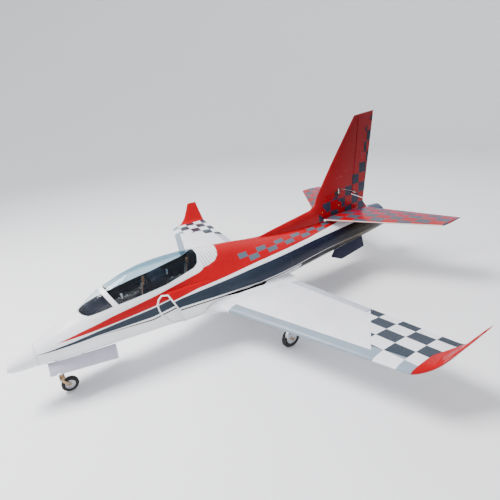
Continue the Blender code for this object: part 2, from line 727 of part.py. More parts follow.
def build_stab(label, side):
    spans = (STAB_ROOT, 0.05, 0.10, 0.25, STAB_TIP)
    rings = [stab_ring(x, side) for x in spans]
    stab = loft(f"stab_{label}", rings, "red_paint")
    inner, outer = 0.036, STAB_TIP - 0.012
    inboard = inner - END_CLEARANCE
    bay = [(side * x, elevator_station(x) - HINGE_CLEARANCE) for x in (inboard, 0.6)]
    bay += [(side * 0.6, 2.1), (side * inboard, 2.1)]
    cut(stab, plan_prism(f"elevator_bay_{label}", bay, 0.3, 0.45), clearance_hull())
    cut(stab, rod(f"stab_bore_{label}", (0, STAB_SPAR_STATION, STAB_HEIGHT),
                  (side * 0.204, STAB_SPAR_STATION, STAB_HEIGHT), STAB_BORE_RADIUS))
    ends = [(side * x, elevator_station(x), STAB_HEIGHT + 0.004 * (x - 0.03) / 0.466)
            for x in (inner, outer + 0.02)]
    middle = [sum(values) / 2 for values in zip(*ends)]
    elevator = loft(f"elevator_{label}", rings, "red_paint")
    boolean(elevator, surface_nose(f"elevator_nose_{label}", ends, 27), "INTERSECT")
    set_origin(baked(elevator), (middle[0], at(middle[1]), middle[2]))


def fin_ring(z):
    """Fin section at a height, with a flared foot."""
    lead = curve_value(((FIN_FOOT, 1.440), (0.448, 1.476), (0.554, 1.540), (FIN_TOP, 1.769)), z)
    trail = 1.900 if z < 0.4 else 1.860 + (z - 0.4) * 0.118
    thickness = 0.032 - 0.022 * (z - FIN_FOOT) / (FIN_TOP - FIN_FOOT)
    return lead, trail, thickness


def fin_points(z, tip_rise=0.0):
    lead, trail, thickness = fin_ring(z)
    return [
        (sign * (thickness * airfoil_half(f) + 0.0006), at(lead + (trail - lead) * f), z + tip_rise * f)
        for f, sign in airfoil_ring(9)
    ]


def rudder_station(z):
    return 1.748 + 0.1005 * (z - 0.397)


def build_fin():
    heights = (FIN_FOOT, 0.40, 0.448, 0.50, 0.60, 0.75)
    rings = [fin_points(z) for z in heights] + [fin_points(FIN_TOP, 0.014)]
    fin = loft("fin", rings, "red_paint")
    strake = []
    for station, half, crest in ((1.120, 0.004, 0.385), (1.223, 0.010, 0.402), (1.330, 0.013, 0.418),
                                 (1.456, 0.014, 0.437), (1.500, 0.013, 0.470), (1.560, 0.008, 0.500)):
        base = curve_value(TOP_LINE, station) - 0.012
        strake.append([
            (half * width, at(station), base + (crest - base) * rise)
            for width, rise in ((1.5, 0.0), (1.0, 0.35), (0.8, 0.75), (0.4, 0.97), (0.0, 1.0),
                                (-0.4, 0.97), (-0.8, 0.75), (-1.0, 0.35), (-1.5, 0.0))
        ])
    join(fin, loft("dorsal_strake", strake))
    low, high = RUDDER_FOOT, 0.95
    start, end = rudder_station(low) - HINGE_CLEARANCE, 2.0
    bay = [(start, low), (rudder_station(high) - HINGE_CLEARANCE, high), (end, high),
           (end, low - RUDDER_RAKE * (end - start))]
    cut(fin, side_prism("rudder_bay", bay), clearance_hull())
    cut(fin, rod("fin_bore", (-0.1, STAB_SPAR_STATION, STAB_HEIGHT),
                 (0.1, STAB_SPAR_STATION, STAB_HEIGHT), STAB_BORE_RADIUS))
    for label, side in SIDES:
        trim_low, trim_high = sorted((side * (STAB_ROOT - GAP), side * 0.1))
        cut(fin, block(f"fin_trim_{label}", (trim_low, 1.4, 0.3), (trim_high, 2.0, 0.42)))
    cut(fin, block("servo_pocket", (0.0010, 1.6205, 0.4805), (0.05, 1.6615, 0.5045)))
    rudder = loft("rudder", rings, "red_paint")
    depth, rear = 0.05, 0.25
    back = depth * math.tan(math.radians(27))
    wedge = []
    for z, rake in ((low + 0.0025, RUDDER_RAKE), (high, 0.0)):
        hinge = at(rudder_station(z))
        wedge.append([
            (0, hinge, z), (depth, hinge + back, z - rake * back), (depth, hinge + rear, z - rake * rear),
            (-depth, hinge + rear, z - rake * rear), (-depth, hinge + back, z - rake * back),
        ])
    boolean(rudder, loft("rudder_nose", wedge), "INTERSECT")
    set_origin(baked(rudder), (0, at(rudder_station(0.48)), 0.48))


def build_rudder_drive():
    block("rudder_servo", (0.0015, 1.621, 0.481), (0.0150, 1.661, 0.504), "carbon", bevel=0.0008)
    arm = rod("rudder_servo_arm", (0.0155, 1.646, 0.4925), (0.0185, 1.646, 0.4925), 0.0042, "white_nylon",
              (0.017, at(1.646), 0.4925), sides=14)
    join(arm, block("arm_blade", (0.0160, 1.6435, 0.4925), (0.0180, 1.6485, 0.519)))
    rod("rudder_pushrod", (0.0202, 1.646, 0.5165), (0.0300, 1.757, 0.4805), 0.0011, "steel", sides=8)
    root, tip = at(rudder_station(0.4745)), 0.0315
    outline = [(0.0085, 1.7635), (0.0085, 1.783), (tip, 1.7605), (tip, 1.7545)]
    horn = [[(x, at(s), z) for x, s in outline] for z in (0.4735, 0.4760)]
    horn_object = loft("rudder_horn", horn, "white_nylon", (0, root, 0.4745))
    body = bpy.data.objects["rudder"].copy()
    body.name = "rudder_clearance"
    body.data = body.data.copy()
    swell = body.modifiers.new("swell", "DISPLACE")
    swell.strength = GAP
    swell.mid_level = 0.0
    CUTTERS.objects.link(body)
    body.hide_render = True
    body.display_type = "WIRE"
    cut(horn_object, body)


def build_ventral_fin(label, side):
    outline = ((1.592, 0.215), (1.797, 0.230), (1.799, 0.156), (1.612, 0.1345), (1.541, 0.1655))
    lean, foot = math.tan(VENTRAL_LEAN), 0.200
    faces = []
    for offset in (-0.0022, 0.0022):
        faces.append([(side * (0.060 + (foot - z) * lean + offset), at(s), z) for s, z in outline])
    plate = loft(f"ventral_fin_{label}", faces, "navy_paint")
    cut(plate, clearance_hull())


# Undercarriage

def tyre(name, centre, radius, half_width, rim):
    """Tyre whose lowest facet lies flat on the ground."""
    tread = radius / math.cos(math.pi / TYRE_STEPS)
    shoulder = tread - 0.006
    profile = ((rim, half_width * 0.62), (shoulder, half_width), (tread - 0.002, half_width * 0.76),
               (tread, half_width * 0.4), (tread, -half_width * 0.4), (tread - 0.002, -half_width * 0.76),
               (shoulder, -half_width), (rim, -half_width * 0.62))
    made = turned(name, profile, centre, "X", "tyre_rubber", steps=TYRE_STEPS, closed=True)
    made.rotation_mode = "ZYX"
    made.rotation_euler.x = math.pi / TYRE_STEPS


def hub(name, centre, rim, half_width, bore, paint):
    inner = (rim - GAP) * math.cos(math.pi / TYRE_STEPS)
    profile = ((bore, half_width * 0.9), (bore + 0.004, half_width * 0.9), (inner * 0.6, half_width * 0.35),
               (inner, half_width * 0.62), (inner, -half_width * 0.62), (inner * 0.6, -half_width * 0.35),
               (bore + 0.004, -half_width * 0.9), (bore, -half_width * 0.9))
    turned(name, profile, centre, "X", paint, steps=16, closed=True)


def build_nose_gear():
    station, height = NOSE_PIVOT
    pivot = (0, at(station), height)
    retract = block("nose_retract", (-0.022, 0.150, 0.2065), (0.022, 0.2625, 0.232), "alloy")
    ears = [block(f"nose_ear_{label}", *ear_corners(side)) for label, side in SIDES]
    join(retract, *ears)
    cut(retract, rod("nose_pin_bore", (-0.03, station, height), (0.03, station, height),
                     PIN_BORE_RADIUS, sides=12))
    leg = rod("nose_leg", (0, station, height), (0, station, 0.0868), 0.0058, "alloy", pivot)
    join(leg, rod("nose_trunnion", (-0.0160, station, height), (0.0160, station, height), 0.0068),
         rod("nose_pin", (-0.0225, station, height), (0.0225, station, height), PIN_RADIUS, sides=12),
         rod("steering_pin", (0, station, 0.088), (0, station, 0.0740), 0.0035, sides=12))
    fork = rod("nose_fork", (0, station, 0.0864), (0, station, 0.0690), 0.0090, "bronze",
               (0, at(station), 0.08))
    join(fork, block("nose_clevis", (-0.0112, 0.1435, 0.0665), (0.0112, 0.1600, 0.0790)))
    cut(fork, rod("steering_bore", (0, station, 0.09), (0, station, 0.0735), 0.0041, sides=12),
        rod("knee_bore", (-0.02, *NOSE_KNEE), (0.02, *NOSE_KNEE), 0.0030, sides=12))
    arm = rod("nose_arm", (-0.0158, *NOSE_KNEE), (0.0158, *NOSE_KNEE), 0.0022, "bronze",
              (0, at(NOSE_KNEE[0]), NOSE_KNEE[1]), sides=12)
    for label, side in SIDES:
        join(arm, arm_plate(f"nose_link_{label}", side * 0.0118, side * 0.0156, NOSE_KNEE, NOSE_AXLE, 0.0050))
    join(arm, rod("nose_axle", (-0.0150, *NOSE_AXLE), (0.0150, *NOSE_AXLE), 0.0024, sides=12))
    rim = NOSE_RADIUS * 0.60
    tyre("nose_tyre", (0, *NOSE_AXLE), NOSE_RADIUS, 0.0095, rim)
    hub("nose_hub", (0, *NOSE_AXLE), rim, 0.0095, 0.0029, "alloy")


def ear_corners(side):
    low, high = sorted((side * 0.0170, side * 0.0220))
    return (low, 0.1475, 0.1895), (high, 0.1660, 0.2085)


def arm_plate(name, x_from, x_to, start, end, half_width):
    """Flat link between two points (station, height), rounded at both ends."""
    low, high = sorted((x_from, x_to))
    along = Vector((end[0] - start[0], end[1] - start[1])).normalized()
    facing = math.atan2(along.y, along.x)
    outline = []
    for centre, heading in ((end, facing), (start, facing + math.pi)):
        for i in range(7):
            angle = heading - math.pi / 2 + math.pi * i / 6
            outline.append((centre[0] + half_width * math.cos(angle),
                            centre[1] + half_width * math.sin(angle)))
    return side_prism(name, outline, low, high)


def build_main_gear(label, side):
    x, height = MAIN_PIVOT
    knee_station, knee_height = MAIN_KNEE
    pivot = (side * x, at(0.9875), height)

    def along_x(a, b):
        return sorted((side * a, side * b))

    body_low, body_high = along_x(0.3795, 0.4215)
    retract = block(f"main_retract_{label}", (body_low, 0.963, 0.1795), (body_high, 1.012, 0.2100), "alloy")
    for index, start in enumerate((0.9635, 1.0060)):
        ear_low, ear_high = along_x(0.3600, 0.3840)
        join(retract, block(f"main_ear_{label}_{index}", (ear_low, start, 0.1795),
                            (ear_high, start + 0.0055, 0.1940)))
    cut(retract, rod(f"main_pin_bore_{label}", (side * x, 0.95, height), (side * x, 1.02, height),
                     PIN_BORE_RADIUS, sides=12))

    leg = rod(f"main_leg_{label}", (side * x, knee_station, height), (side * x, knee_station, 0.0800), 0.0062,
              "alloy", pivot)
    join(leg, rod(f"main_trunnion_{label}", (side * x, 0.9700, height), (side * x, 1.0050, height), 0.0066),
         rod(f"main_pin_{label}", (side * x, 0.9640, height), (side * x, 1.0110, height),
             PIN_RADIUS, sides=12))
    for index, (a, b) in enumerate(((0.3602, 0.3650), (0.3712, 0.3768))):
        lug_low, lug_high = along_x(a, b)
        join(leg, block(f"main_lug_{label}_{index}", (lug_low, 0.9780, 0.0680), (lug_high, 0.9920, 0.0830)))
    cap_low, cap_high = along_x(0.3602, 0.3768)
    join(leg, block(f"main_cap_{label}", (cap_low, 0.9780, 0.0815), (cap_high, 0.9920, 0.0890)))
    knee_bore = rod(f"main_knee_bore_{label}", (side * 0.35, *MAIN_KNEE), (side * 0.39, *MAIN_KNEE),
                    0.0031, sides=12)
    cut(leg, knee_bore)

    link = arm_plate(f"main_arm_{label}", side * 0.3656, side * 0.3706, MAIN_KNEE,
                     (MAIN_STATION, MAIN_RADIUS), 0.0056)
    arm = solid_part(link, "bronze", (side * 0.368, at(knee_station), knee_height))
    join(arm, rod(f"main_axle_{label}", (side * 0.3380, MAIN_STATION, MAIN_RADIUS),
                  (side * 0.3690, MAIN_STATION, MAIN_RADIUS), 0.0028, sides=12),
         rod(f"main_knee_pin_{label}", (side * 0.3600, *MAIN_KNEE), (side * 0.3775, *MAIN_KNEE),
             0.0022, sides=12))
    rim = MAIN_RADIUS * 0.58
    centre = (side * MAIN_TRACK, MAIN_STATION, MAIN_RADIUS)
    tyre(f"main_tyre_{label}", centre, MAIN_RADIUS, 0.0100, rim)
    hub(f"main_hub_{label}", centre, rim, 0.0100, 0.0033, "alloy")


def solid_part(made, paint, origin):
    """Promotes a shape made as a cutter to a part."""
    CUTTERS.objects.unlink(made)
    PARTS.objects.link(made)
    made.hide_render = False
    made.display_type = "TEXTURED"
    made.data.materials.append(material(paint))
    set_origin(made, origin)
    return made


def build_nose_door(label, side):
    """Belly panel with a notch that shuts round the leg, cut from the fuselage surface and then hung open."""
    door = hull(f"nose_door_{label}", [0.10] + spaced(0.125, 0.368, 5) + [0.39], "white_paint",
                closed_ends=False, thickness=0.0022)
    front, rear = BAY_STATIONS
    near, far = (half - DOOR_GAP for half in BAY_HALF_WIDTHS)
    front, rear = front + DOOR_GAP, rear - DOOR_GAP
    outline = [(side * 0.0006, front), (side * near, front), (side * far, rear), (side * 0.0006, rear)]
    boolean(door, plan_prism(f"door_region_{label}", outline, 0.10, 0.205), "INTERSECT")
    station = NOSE_PIVOT[0]
    cut(door, rod(f"leg_notch_{label}", (0, station, 0.10), (0, station, 0.205), LEG_NOTCH_RADIUS, sides=24))
    baked(door)
    first, last = (Vector((side * x, at(s), z)) for x, s, z in DOOR_HINGE)
    turn = Matrix.Rotation(-side * DOOR_SWING, 4, last - first)
    door.data.transform(Matrix.Translation(first) @ turn @ Matrix.Translation(-first))
    set_origin(door, first)


# Power and radio

def build_power():
    axis = ENGINE_HEIGHT
    case = ((0.034, -0.125), (0.050, -0.118), (0.053, -0.10), (0.053, 0.06), (0.046, 0.10), (0.040, 0.125),
            (0.036, 0.125), (0.042, 0.10), (0.049, 0.058), (0.049, -0.08), (0.034, -0.09))
    turned("turbine_case", case[::-1], (0, 1.325, axis), "Y", "steel", steps=24, closed=True)
    wheel = turned("turbine_rotor", ((0, 0.0), (0.018, 0.0), (0.012, -0.020), (0.006, -0.036), (0.0, -0.040)),
                   (0, 1.232, axis), "Y", "alloy", steps=16)
    baked(wheel)
    wheel.data.transform(wheel.matrix_basis)
    wheel.matrix_basis = Matrix.Identity(4)
    set_origin(wheel, (0, at(1.232), axis))
    for index in range(8):
        angle = math.tau * index / 8
        blade = block(f"rotor_blade_{index}", (-0.0008, 1.216, 0.010), (0.0008, 1.229, 0.031))
        blade.data.transform(
            Matrix.Translation((0, 0, axis)) @ Matrix.Rotation(angle, 4, "Y") @ Matrix.Rotation(0.3, 4, "Z")
            @ Matrix.Translation((0, -at(1.2225), 0)))
        blade.location = (0, at(1.2225), 0)
        join(wheel, blade)
    pipe = ((0.0460, -0.2675), (0.0460, 0.2825), (0.0448, 0.2825), (0.0448, -0.2675))
    turned("tail_pipe", pipe[::-1], (0, 1.7335, 0.272), "Y", "steel", steps=24, closed=True)
    block("fuel_tank", (-0.06, 0.955, 0.160), (0.06, 1.165, 0.178), "tank_nylon", bevel=0.006)
    block("battery", (-0.045, 0.40, 0.165), (0.045, 0.54, 0.205), "pack_blue", bevel=0.003)
    block("receiver", (-0.022, 0.60, 0.165), (0.022, 0.65, 0.183), "carbon", bevel=0.002)
    rod("wing_tube", (-0.400, WING_SPAR_STATION, WING_SPAR_HEIGHT),
        (0.400, WING_SPAR_STATION, WING_SPAR_HEIGHT), WING_TUBE_RADIUS, "carbon")
    rod("stab_tube", (-0.200, STAB_SPAR_STATION, STAB_HEIGHT), (0.200, STAB_SPAR_STATION, STAB_HEIGHT),
        STAB_TUBE_RADIUS, "carbon", sides=12)


def build_aircraft():
    build_fuselage()
    build_nose_and_tail()
    build_canopy()
    build_intakes()
    build_cockpit()
    build_cockpit_fittings()
    for label, side in SIDES:
        build_wing(label, side)
        control_surface("flap", label, side, FLAP_SPAN, 38)
        control_surface("aileron", label, side, AILERON_SPAN, 28)
        build_winglet(label, side)
        build_stab(label, side)
        build_ventral_fin(label, side)
        build_nose_door(label, side)
        build_main_gear(label, side)
    build_fin()
    build_rudder_drive()
    build_nose_gear()
    build_power()


build_aircraft()
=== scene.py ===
"""Looks for the radio-controlled jet trainer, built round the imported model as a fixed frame."""

import math

import bmesh
import bpy
from mathutils import Matrix, Vector


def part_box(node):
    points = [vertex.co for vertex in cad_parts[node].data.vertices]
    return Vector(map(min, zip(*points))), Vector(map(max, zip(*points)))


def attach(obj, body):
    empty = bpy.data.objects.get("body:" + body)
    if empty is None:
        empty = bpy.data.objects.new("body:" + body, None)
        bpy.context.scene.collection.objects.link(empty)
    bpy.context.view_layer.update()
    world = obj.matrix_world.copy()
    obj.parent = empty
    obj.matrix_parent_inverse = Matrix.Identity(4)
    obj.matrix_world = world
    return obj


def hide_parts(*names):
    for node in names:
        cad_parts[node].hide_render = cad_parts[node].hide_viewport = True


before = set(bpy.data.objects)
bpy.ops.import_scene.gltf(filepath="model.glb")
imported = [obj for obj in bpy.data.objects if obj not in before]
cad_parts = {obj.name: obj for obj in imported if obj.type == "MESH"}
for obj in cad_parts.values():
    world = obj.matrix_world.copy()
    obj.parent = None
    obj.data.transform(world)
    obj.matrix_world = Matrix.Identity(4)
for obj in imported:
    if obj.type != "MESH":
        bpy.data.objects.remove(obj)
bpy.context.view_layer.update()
NOSE_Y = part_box("nose_cone")[0].y

# Fuselage curves, as (station, value): stations run aft from the tip of the nose
TOP_LINE = (
    (0.0, 0.204), (0.012, 0.215), (0.040, 0.231), (0.090, 0.250), (0.164, 0.283), (0.224, 0.305),
    (0.272, 0.321), (0.300, 0.343), (0.357, 0.380), (0.413, 0.400), (0.474, 0.420), (0.555, 0.434),
    (0.626, 0.437), (0.717, 0.434), (0.798, 0.424), (0.878, 0.415), (0.962, 0.406), (1.092, 0.387),
    (1.250, 0.373), (1.500, 0.360), (1.700, 0.357), (1.900, 0.356), (1.992, 0.353),
)
BOTTOM_LINE = (
    (0.0, 0.182), (0.012, 0.176), (0.040, 0.171), (0.090, 0.170), (0.155, 0.161), (0.272, 0.154),
    (0.420, 0.1425), (0.550, 0.133), (0.700, 0.121), (0.800, 0.1175), (0.950, 0.118), (1.090, 0.128),
    (1.350, 0.155), (1.600, 0.178), (1.800, 0.195), (1.900, 0.203), (1.992, 0.212),
)
HALF_WIDTH = (
    (0.0, 0.011), (0.012, 0.019), (0.040, 0.030), (0.090, 0.041), (0.155, 0.060), (0.272, 0.082),
    (0.420, 0.096), (0.550, 0.106), (0.700, 0.111), (0.800, 0.112), (1.090, 0.112), (1.350, 0.103),
    (1.600, 0.092), (1.800, 0.084), (1.900, 0.079), (1.992, 0.071),
)
WAIST_HEIGHT = (
    (0.0, 0.193), (0.090, 0.210), (0.272, 0.236), (0.550, 0.250), (0.800, 0.252), (1.090, 0.262),
    (1.350, 0.278), (1.800, 0.284), (1.992, 0.283),
)
TOP_POWER = ((0.0, 2.0), (0.270, 2.0), (0.450, 1.9), (0.850, 1.85), (1.000, 1.6), (1.992, 1.7))
DUCT_BULGE = ((0.560, 0.030), (0.800, 0.036), (1.090, 0.033), (1.350, 0.020), (1.600, 0.009), (1.900, 0.0))
BULGE_HALF_HEIGHT = 0.078
CHEEK_END, CHEEK_SEAT = 0.800, 0.88
MOUTH_TOP, MOUTH_RAKE, LIP_RADIUS = (0.5905, 0.322), 0.417, 0.0034
HATCH_LINE = (
    (0.262, 0.3155), (0.330, 0.3035), (0.408, 0.316), (0.604, 0.337), (0.759, 0.366),
    (0.805, 0.371), (0.836, 0.377), (0.860, 0.392), (0.876, 0.4175),
)
HATCH_ROOF = ((0.876, 0.6), (0.262, 0.6))
WINDSCREEN_LINE = ((0.272, 0.3215), (0.300, 0.3165), (0.390, 0.3303), (0.330, 0.450), (0.272, 0.450))
WINDOW_LINE = ((0.410, 0.3312), (0.604, 0.3510), (0.735, 0.3775), (0.757, 0.3900), (0.772, 0.4150),
               (0.786, 0.60), (0.3505, 0.450))
GAP, SKIN = 0.0004, 0.003
HULL_POINTS = 112
HULL_STEP = 0.014

# Flying surfaces
WING_ROOT, WING_TIP, FAIRING_START = 0.160, 0.898, 0.090
LEADING_EDGE, TRAILING_EDGE = (0.8045, 0.334), (1.190, 0.127)
WING_HEIGHT, WING_THICKNESS = (0.200, 0.0165), (0.052, -0.035)
HINGE_LINE = (1.144, 0.1386)
FLAP_SPAN, AILERON_SPAN = (0.205, 0.588), (0.592, 0.798)
STAB_HEIGHT, STAB_ROOT, STAB_TIP = 0.371, 0.026, 0.496
FIN_FOOT, FIN_TOP, RUDDER_FOOT, RUDDER_RAKE = 0.352, 0.872, 0.462, 0.45
STAB_DATUM, STAB_LEAD, STAB_TRAIL, STAB_RISE = 0.03, (1.530, 0.308), (1.850, 0.147), 0.004
ELEVATOR_LINE, RUDDER_LINE, RUDDER_DATUM = (1.762, 0.3975), (1.748, 0.1005), 0.397
FIN_SCREWS = ((1.532, 0.409), (1.653, 0.422))
HINGE_SHARES = (0.14, 0.5, 0.86)
HINGE_GAP = 0.0012
SIDES = (("left", 1), ("right", -1))

# Undercarriage: stations and heights of the legs, and wheels as (x, station, height)
NOSE_LEG, NOSE_WHEEL, NOSE_RIM, NOSE_HALF = 0.155, (0, 0.173, 0.032), 0.0192, 0.0095
MAIN_LEG, MAIN_WHEEL, MAIN_RIM, MAIN_HALF = (0.368, 0.985), (0.348, 1.016, 0.046), 0.0267, 0.0100
MAIN_BAY_ROOF = 0.1795
DOOR_HINGE = ((0.045, 0.122, 0.184), (0.057, 0.371, 0.161))
DOOR_SWING, LEG_NOTCH_RADIUS = math.radians(100), 0.0068
WHEEL_HOLES, COIL_STEPS = 6, 18

# The photo's camera, solved from its landmarks: degrees, metres, millimetres, shares of the picture's width
CAMERA_TURN = {"azimuth": 57.998, "elevation": 23.216, "roll": -5.107}
CAMERA_PLACE, CAMERA_LENS, CAMERA_SHIFT = (1.4028, -0.8252, 1.0429), 27.01, (0.0024, 0.0005)


def at(station):
    """World Y of a station."""
    return station + NOSE_Y


def curve_value(points, station):
    """Monotone cubic through the (station, value) pairs, held level past both ends."""
    if station <= points[0][0]:
        return points[0][1]
    if station >= points[-1][0]:
        return points[-1][1]
    index = max(i for i in range(len(points) - 1) if points[i][0] <= station)
    slopes = [(b[1] - a[1]) / (b[0] - a[0]) for a, b in zip(points, points[1:])]

    def tangent(i):
        if i in (0, len(points) - 1):
            return slopes[min(i, len(slopes) - 1)]
        before, after = slopes[i - 1], slopes[i]
        return 0.0 if before * after <= 0 else 2 * before * after / (before + after)

    (x0, y0), (x1, y1) = points[index], points[index + 1]
    span = x1 - x0
    t = (station - x0) / span
    return (
        y0 * (1 + 2 * t) * (1 - t) ** 2 + y1 * t * t * (3 - 2 * t)
        + span * t * (1 - t) * ((1 - t) * tangent(index) - t * tangent(index + 1))
    )


def spaced(start, end, count):
    return [start + (end - start) * i / (count - 1) for i in range(count)]


def stepped(start, end, step=HULL_STEP):
    return spaced(start, end, max(2, round((end - start) / step) + 1))


# Materials

class Shades:
    """Builds one procedural material."""

    def __init__(self, name, roughness=0.3, metallic=0.0, coat=0.0, colour=(0.8, 0.8, 0.8)):
        self.material = bpy.data.materials.new(name)
        self.material.use_nodes = True
        self.tree = self.material.node_tree
        self.shader = self.tree.nodes["Principled BSDF"]
        self.set("Base Color", (*colour, 1.0))
        self.set("Roughness", roughness)
        self.set("Metallic", metallic)
        self.set("Coat Weight", coat)
        self.set("Coat Roughness", 0.03)
        self.set("Specular IOR Level", 0.14)
        coordinates = self.tree.nodes.new("ShaderNodeTexCoord")
        self.place = coordinates.outputs["Object"]
        parts = self.tree.nodes.new("ShaderNodeSeparateXYZ")
        self.tree.links.new(self.place, parts.inputs[0])
        self.x = self.math("ABSOLUTE", parts.outputs[0])
        self.side = parts.outputs[0]
        self.s = self.math("SUBTRACT", parts.outputs[1], NOSE_Y)
        self.z = parts.outputs[2]

    def set(self, name, value):
        self.shader.inputs[name].default_value = value

    def put(self, name, socket):
        self.tree.links.new(socket, self.shader.inputs[name])

    def feed(self, socket, value):
        if isinstance(value, (int, float)):
            socket.default_value = value
        elif isinstance(value, tuple):
            socket.default_value = (*value, 1.0)
        else:
            self.tree.links.new(value, socket)

    def math(self, operation, first, second=0.0, third=0.0):
        node = self.tree.nodes.new("ShaderNodeMath")
        node.operation = operation
        for socket, value in zip(node.inputs, (first, second, third)):
            self.feed(socket, value)
        return node.outputs[0]

    def line(self, variable, at_zero, slope):
        """slope * variable + at_zero"""
        return self.math("MULTIPLY_ADD", variable, slope, at_zero)

    def over(self, value, limit, soft=0.0005):
        """1 where value is over the limit, with a crisp but smooth edge."""
        difference = self.math("SUBTRACT", value, limit)
        return self.clamp(self.math("MULTIPLY_ADD", difference, 1.0 / soft, 0.5))

    def clamp(self, value):
        node = self.tree.nodes.new("ShaderNodeClamp")
        self.feed(node.inputs[0], value)
        return node.outputs[0]

    def all(self, *values):
        result = values[0]
        for value in values[1:]:
            result = self.math("MULTIPLY", result, value)
        return result

    def any(self, *values):
        result = values[0]
        for value in values[1:]:
            result = self.math("MAXIMUM", result, value)
        return result

    def inverse(self, value):
        return self.math("SUBTRACT", 1.0, value)

    def curve(self, variable, points):
        """Piecewise straight line through (variable, value) pairs."""
        result = points[0][1]
        for (x0, y0), (x1, y1) in zip(points, points[1:]):
            share = self.clamp(self.math("MULTIPLY_ADD", variable, 1 / (x1 - x0), -x0 / (x1 - x0)))
            result = self.math("MULTIPLY_ADD", share, y1 - y0, result)
        return result

    def blend(self, share, first, second):
        node = self.tree.nodes.new("ShaderNodeMix")
        node.data_type = "RGBA"
        self.feed(node.inputs["Factor"], share)
        self.feed(node.inputs[6], first)
        self.feed(node.inputs[7], second)
        return node.outputs[2]

    def checks(self, across, across_size, along, along_size):
        """Chessboard of the two coordinates: 1 on odd cells."""
        first = self.math("FLOOR", self.math("MULTIPLY", across, 1 / across_size))
        second = self.math("FLOOR", self.math("MULTIPLY", along, 1 / along_size))
        return self.math("FLOORED_MODULO", self.math("ADD", first, second), 2.0)

    def noise(self, scale, detail=3.0, roughness=0.55, stretch=(1, 1, 1)):
        mapping = self.tree.nodes.new("ShaderNodeMapping")
        mapping.inputs["Scale"].default_value = stretch
        self.tree.links.new(self.place, mapping.inputs["Vector"])
        node = self.tree.nodes.new("ShaderNodeTexNoise")
        self.tree.links.new(mapping.outputs[0], node.inputs["Vector"])
        node.inputs["Scale"].default_value = scale
        node.inputs["Detail"].default_value = detail
        node.inputs["Roughness"].default_value = roughness
        return node.outputs["Fac"]

    def cells(self, scale, feature="F1"):
        node = self.tree.nodes.new("ShaderNodeTexVoronoi")
        node.feature = feature
        self.tree.links.new(self.place, node.inputs["Vector"])
        node.inputs["Scale"].default_value = scale
        return node.outputs["Distance"]

    def rough(self, low, high, share):
        node = self.tree.nodes.new("ShaderNodeMapRange")
        self.feed(node.inputs["Value"], share)
        node.inputs["To Min"].default_value = low
        node.inputs["To Max"].default_value = high
        self.put("Roughness", node.outputs[0])

    def relief(self, *layers):
        """Bump from (height, distance in metres) pairs."""
        normal = None
        for height, distance in layers:
            node = self.tree.nodes.new("ShaderNodeBump")
            node.inputs["Distance"].default_value = distance
            node.inputs["Strength"].default_value = 1.5
            self.feed(node.inputs["Height"], height)
            if normal:
                self.tree.links.new(normal, node.inputs["Normal"])
            normal = node.outputs[0]
        self.put("Normal", normal)

    def ring(self, centre_a, centre_b, a, b, inner, outer):
        """1 between two radii round a centre."""
        da = self.math("SUBTRACT", a, centre_a)
        db = self.math("SUBTRACT", b, centre_b)
        distance = self.math("SQRT",
                             self.math("ADD", self.math("MULTIPLY", da, da), self.math("MULTIPLY", db, db)))
        return self.all(self.over(distance, inner), self.inverse(self.over(distance, outer)))

    def groove(self, value, limit, half_width=0.0004):
        """1 in a narrow line where value equals the limit."""
        difference = self.math("ABSOLUTE", self.math("SUBTRACT", value, limit))
        return self.inverse(self.over(difference, half_width, half_width))


WHITE = (0.83, 0.83, 0.86)
WING_WHITE = (0.80, 0.80, 0.87)
SILVER = (0.46, 0.49, 0.56)
STRIP = (0.235, 0.290, 0.350)
SLATE = (0.024, 0.035, 0.052)
RED = (0.40, 0.0, 0.005)
CHECK_GREY = (0.085, 0.115, 0.150)
NAVY = (0.010, 0.012, 0.035)


def inner_wall_shade(shades):
    """1 on faces that look in towards the centreline: the shell's inner walls, which are painted near-black
    as painted shade.
    """
    facing = shades.tree.nodes.new("ShaderNodeNewGeometry").outputs["True Normal"]
    parts = shades.tree.nodes.new("ShaderNodeSeparateXYZ")
    shades.tree.links.new(facing, parts.inputs[0])
    outward = shades.math("MULTIPLY", parts.outputs[0], shades.side)
    upward = shades.math("MULTIPLY", parts.outputs[2], 0.05)
    inward = shades.inverse(shades.over(shades.math("ADD", outward, upward), -0.002, 0.002))
    return shades.all(inward, shades.over(shades.z, 0.27), shades.over(shades.s, 0.25),
                      shades.inverse(shades.over(shades.s, 0.90)))


def gloss(shades, colour, grooves=()):
    """Sprayed two-pack paint: faint colour drift, orange peel, dust in the gloss, and scribed lines."""
    drift = shades.noise(9.0, 4.0)
    dirt = shades.noise(60.0, 6.0, 0.7, (1.0, 0.25, 1.0))
    tinted = shades.blend(shades.math("MULTIPLY_ADD", drift, 0.30, -0.06), colour, (0.0, 0.0, 0.0))
    if grooves:
        mark = shades.any(*grooves)
        tinted = shades.blend(shades.math("MULTIPLY", mark, 0.62), tinted, (0.07, 0.07, 0.08))
    shades.put("Base Color", tinted)
    shades.rough(0.16, 0.34, dirt)
    layers = [(shades.noise(1400.0, 2.0), 0.000012)]
    if grooves:
        layers.append((shades.inverse(mark), 0.0005))
    shades.relief(*layers)
    return shades.material


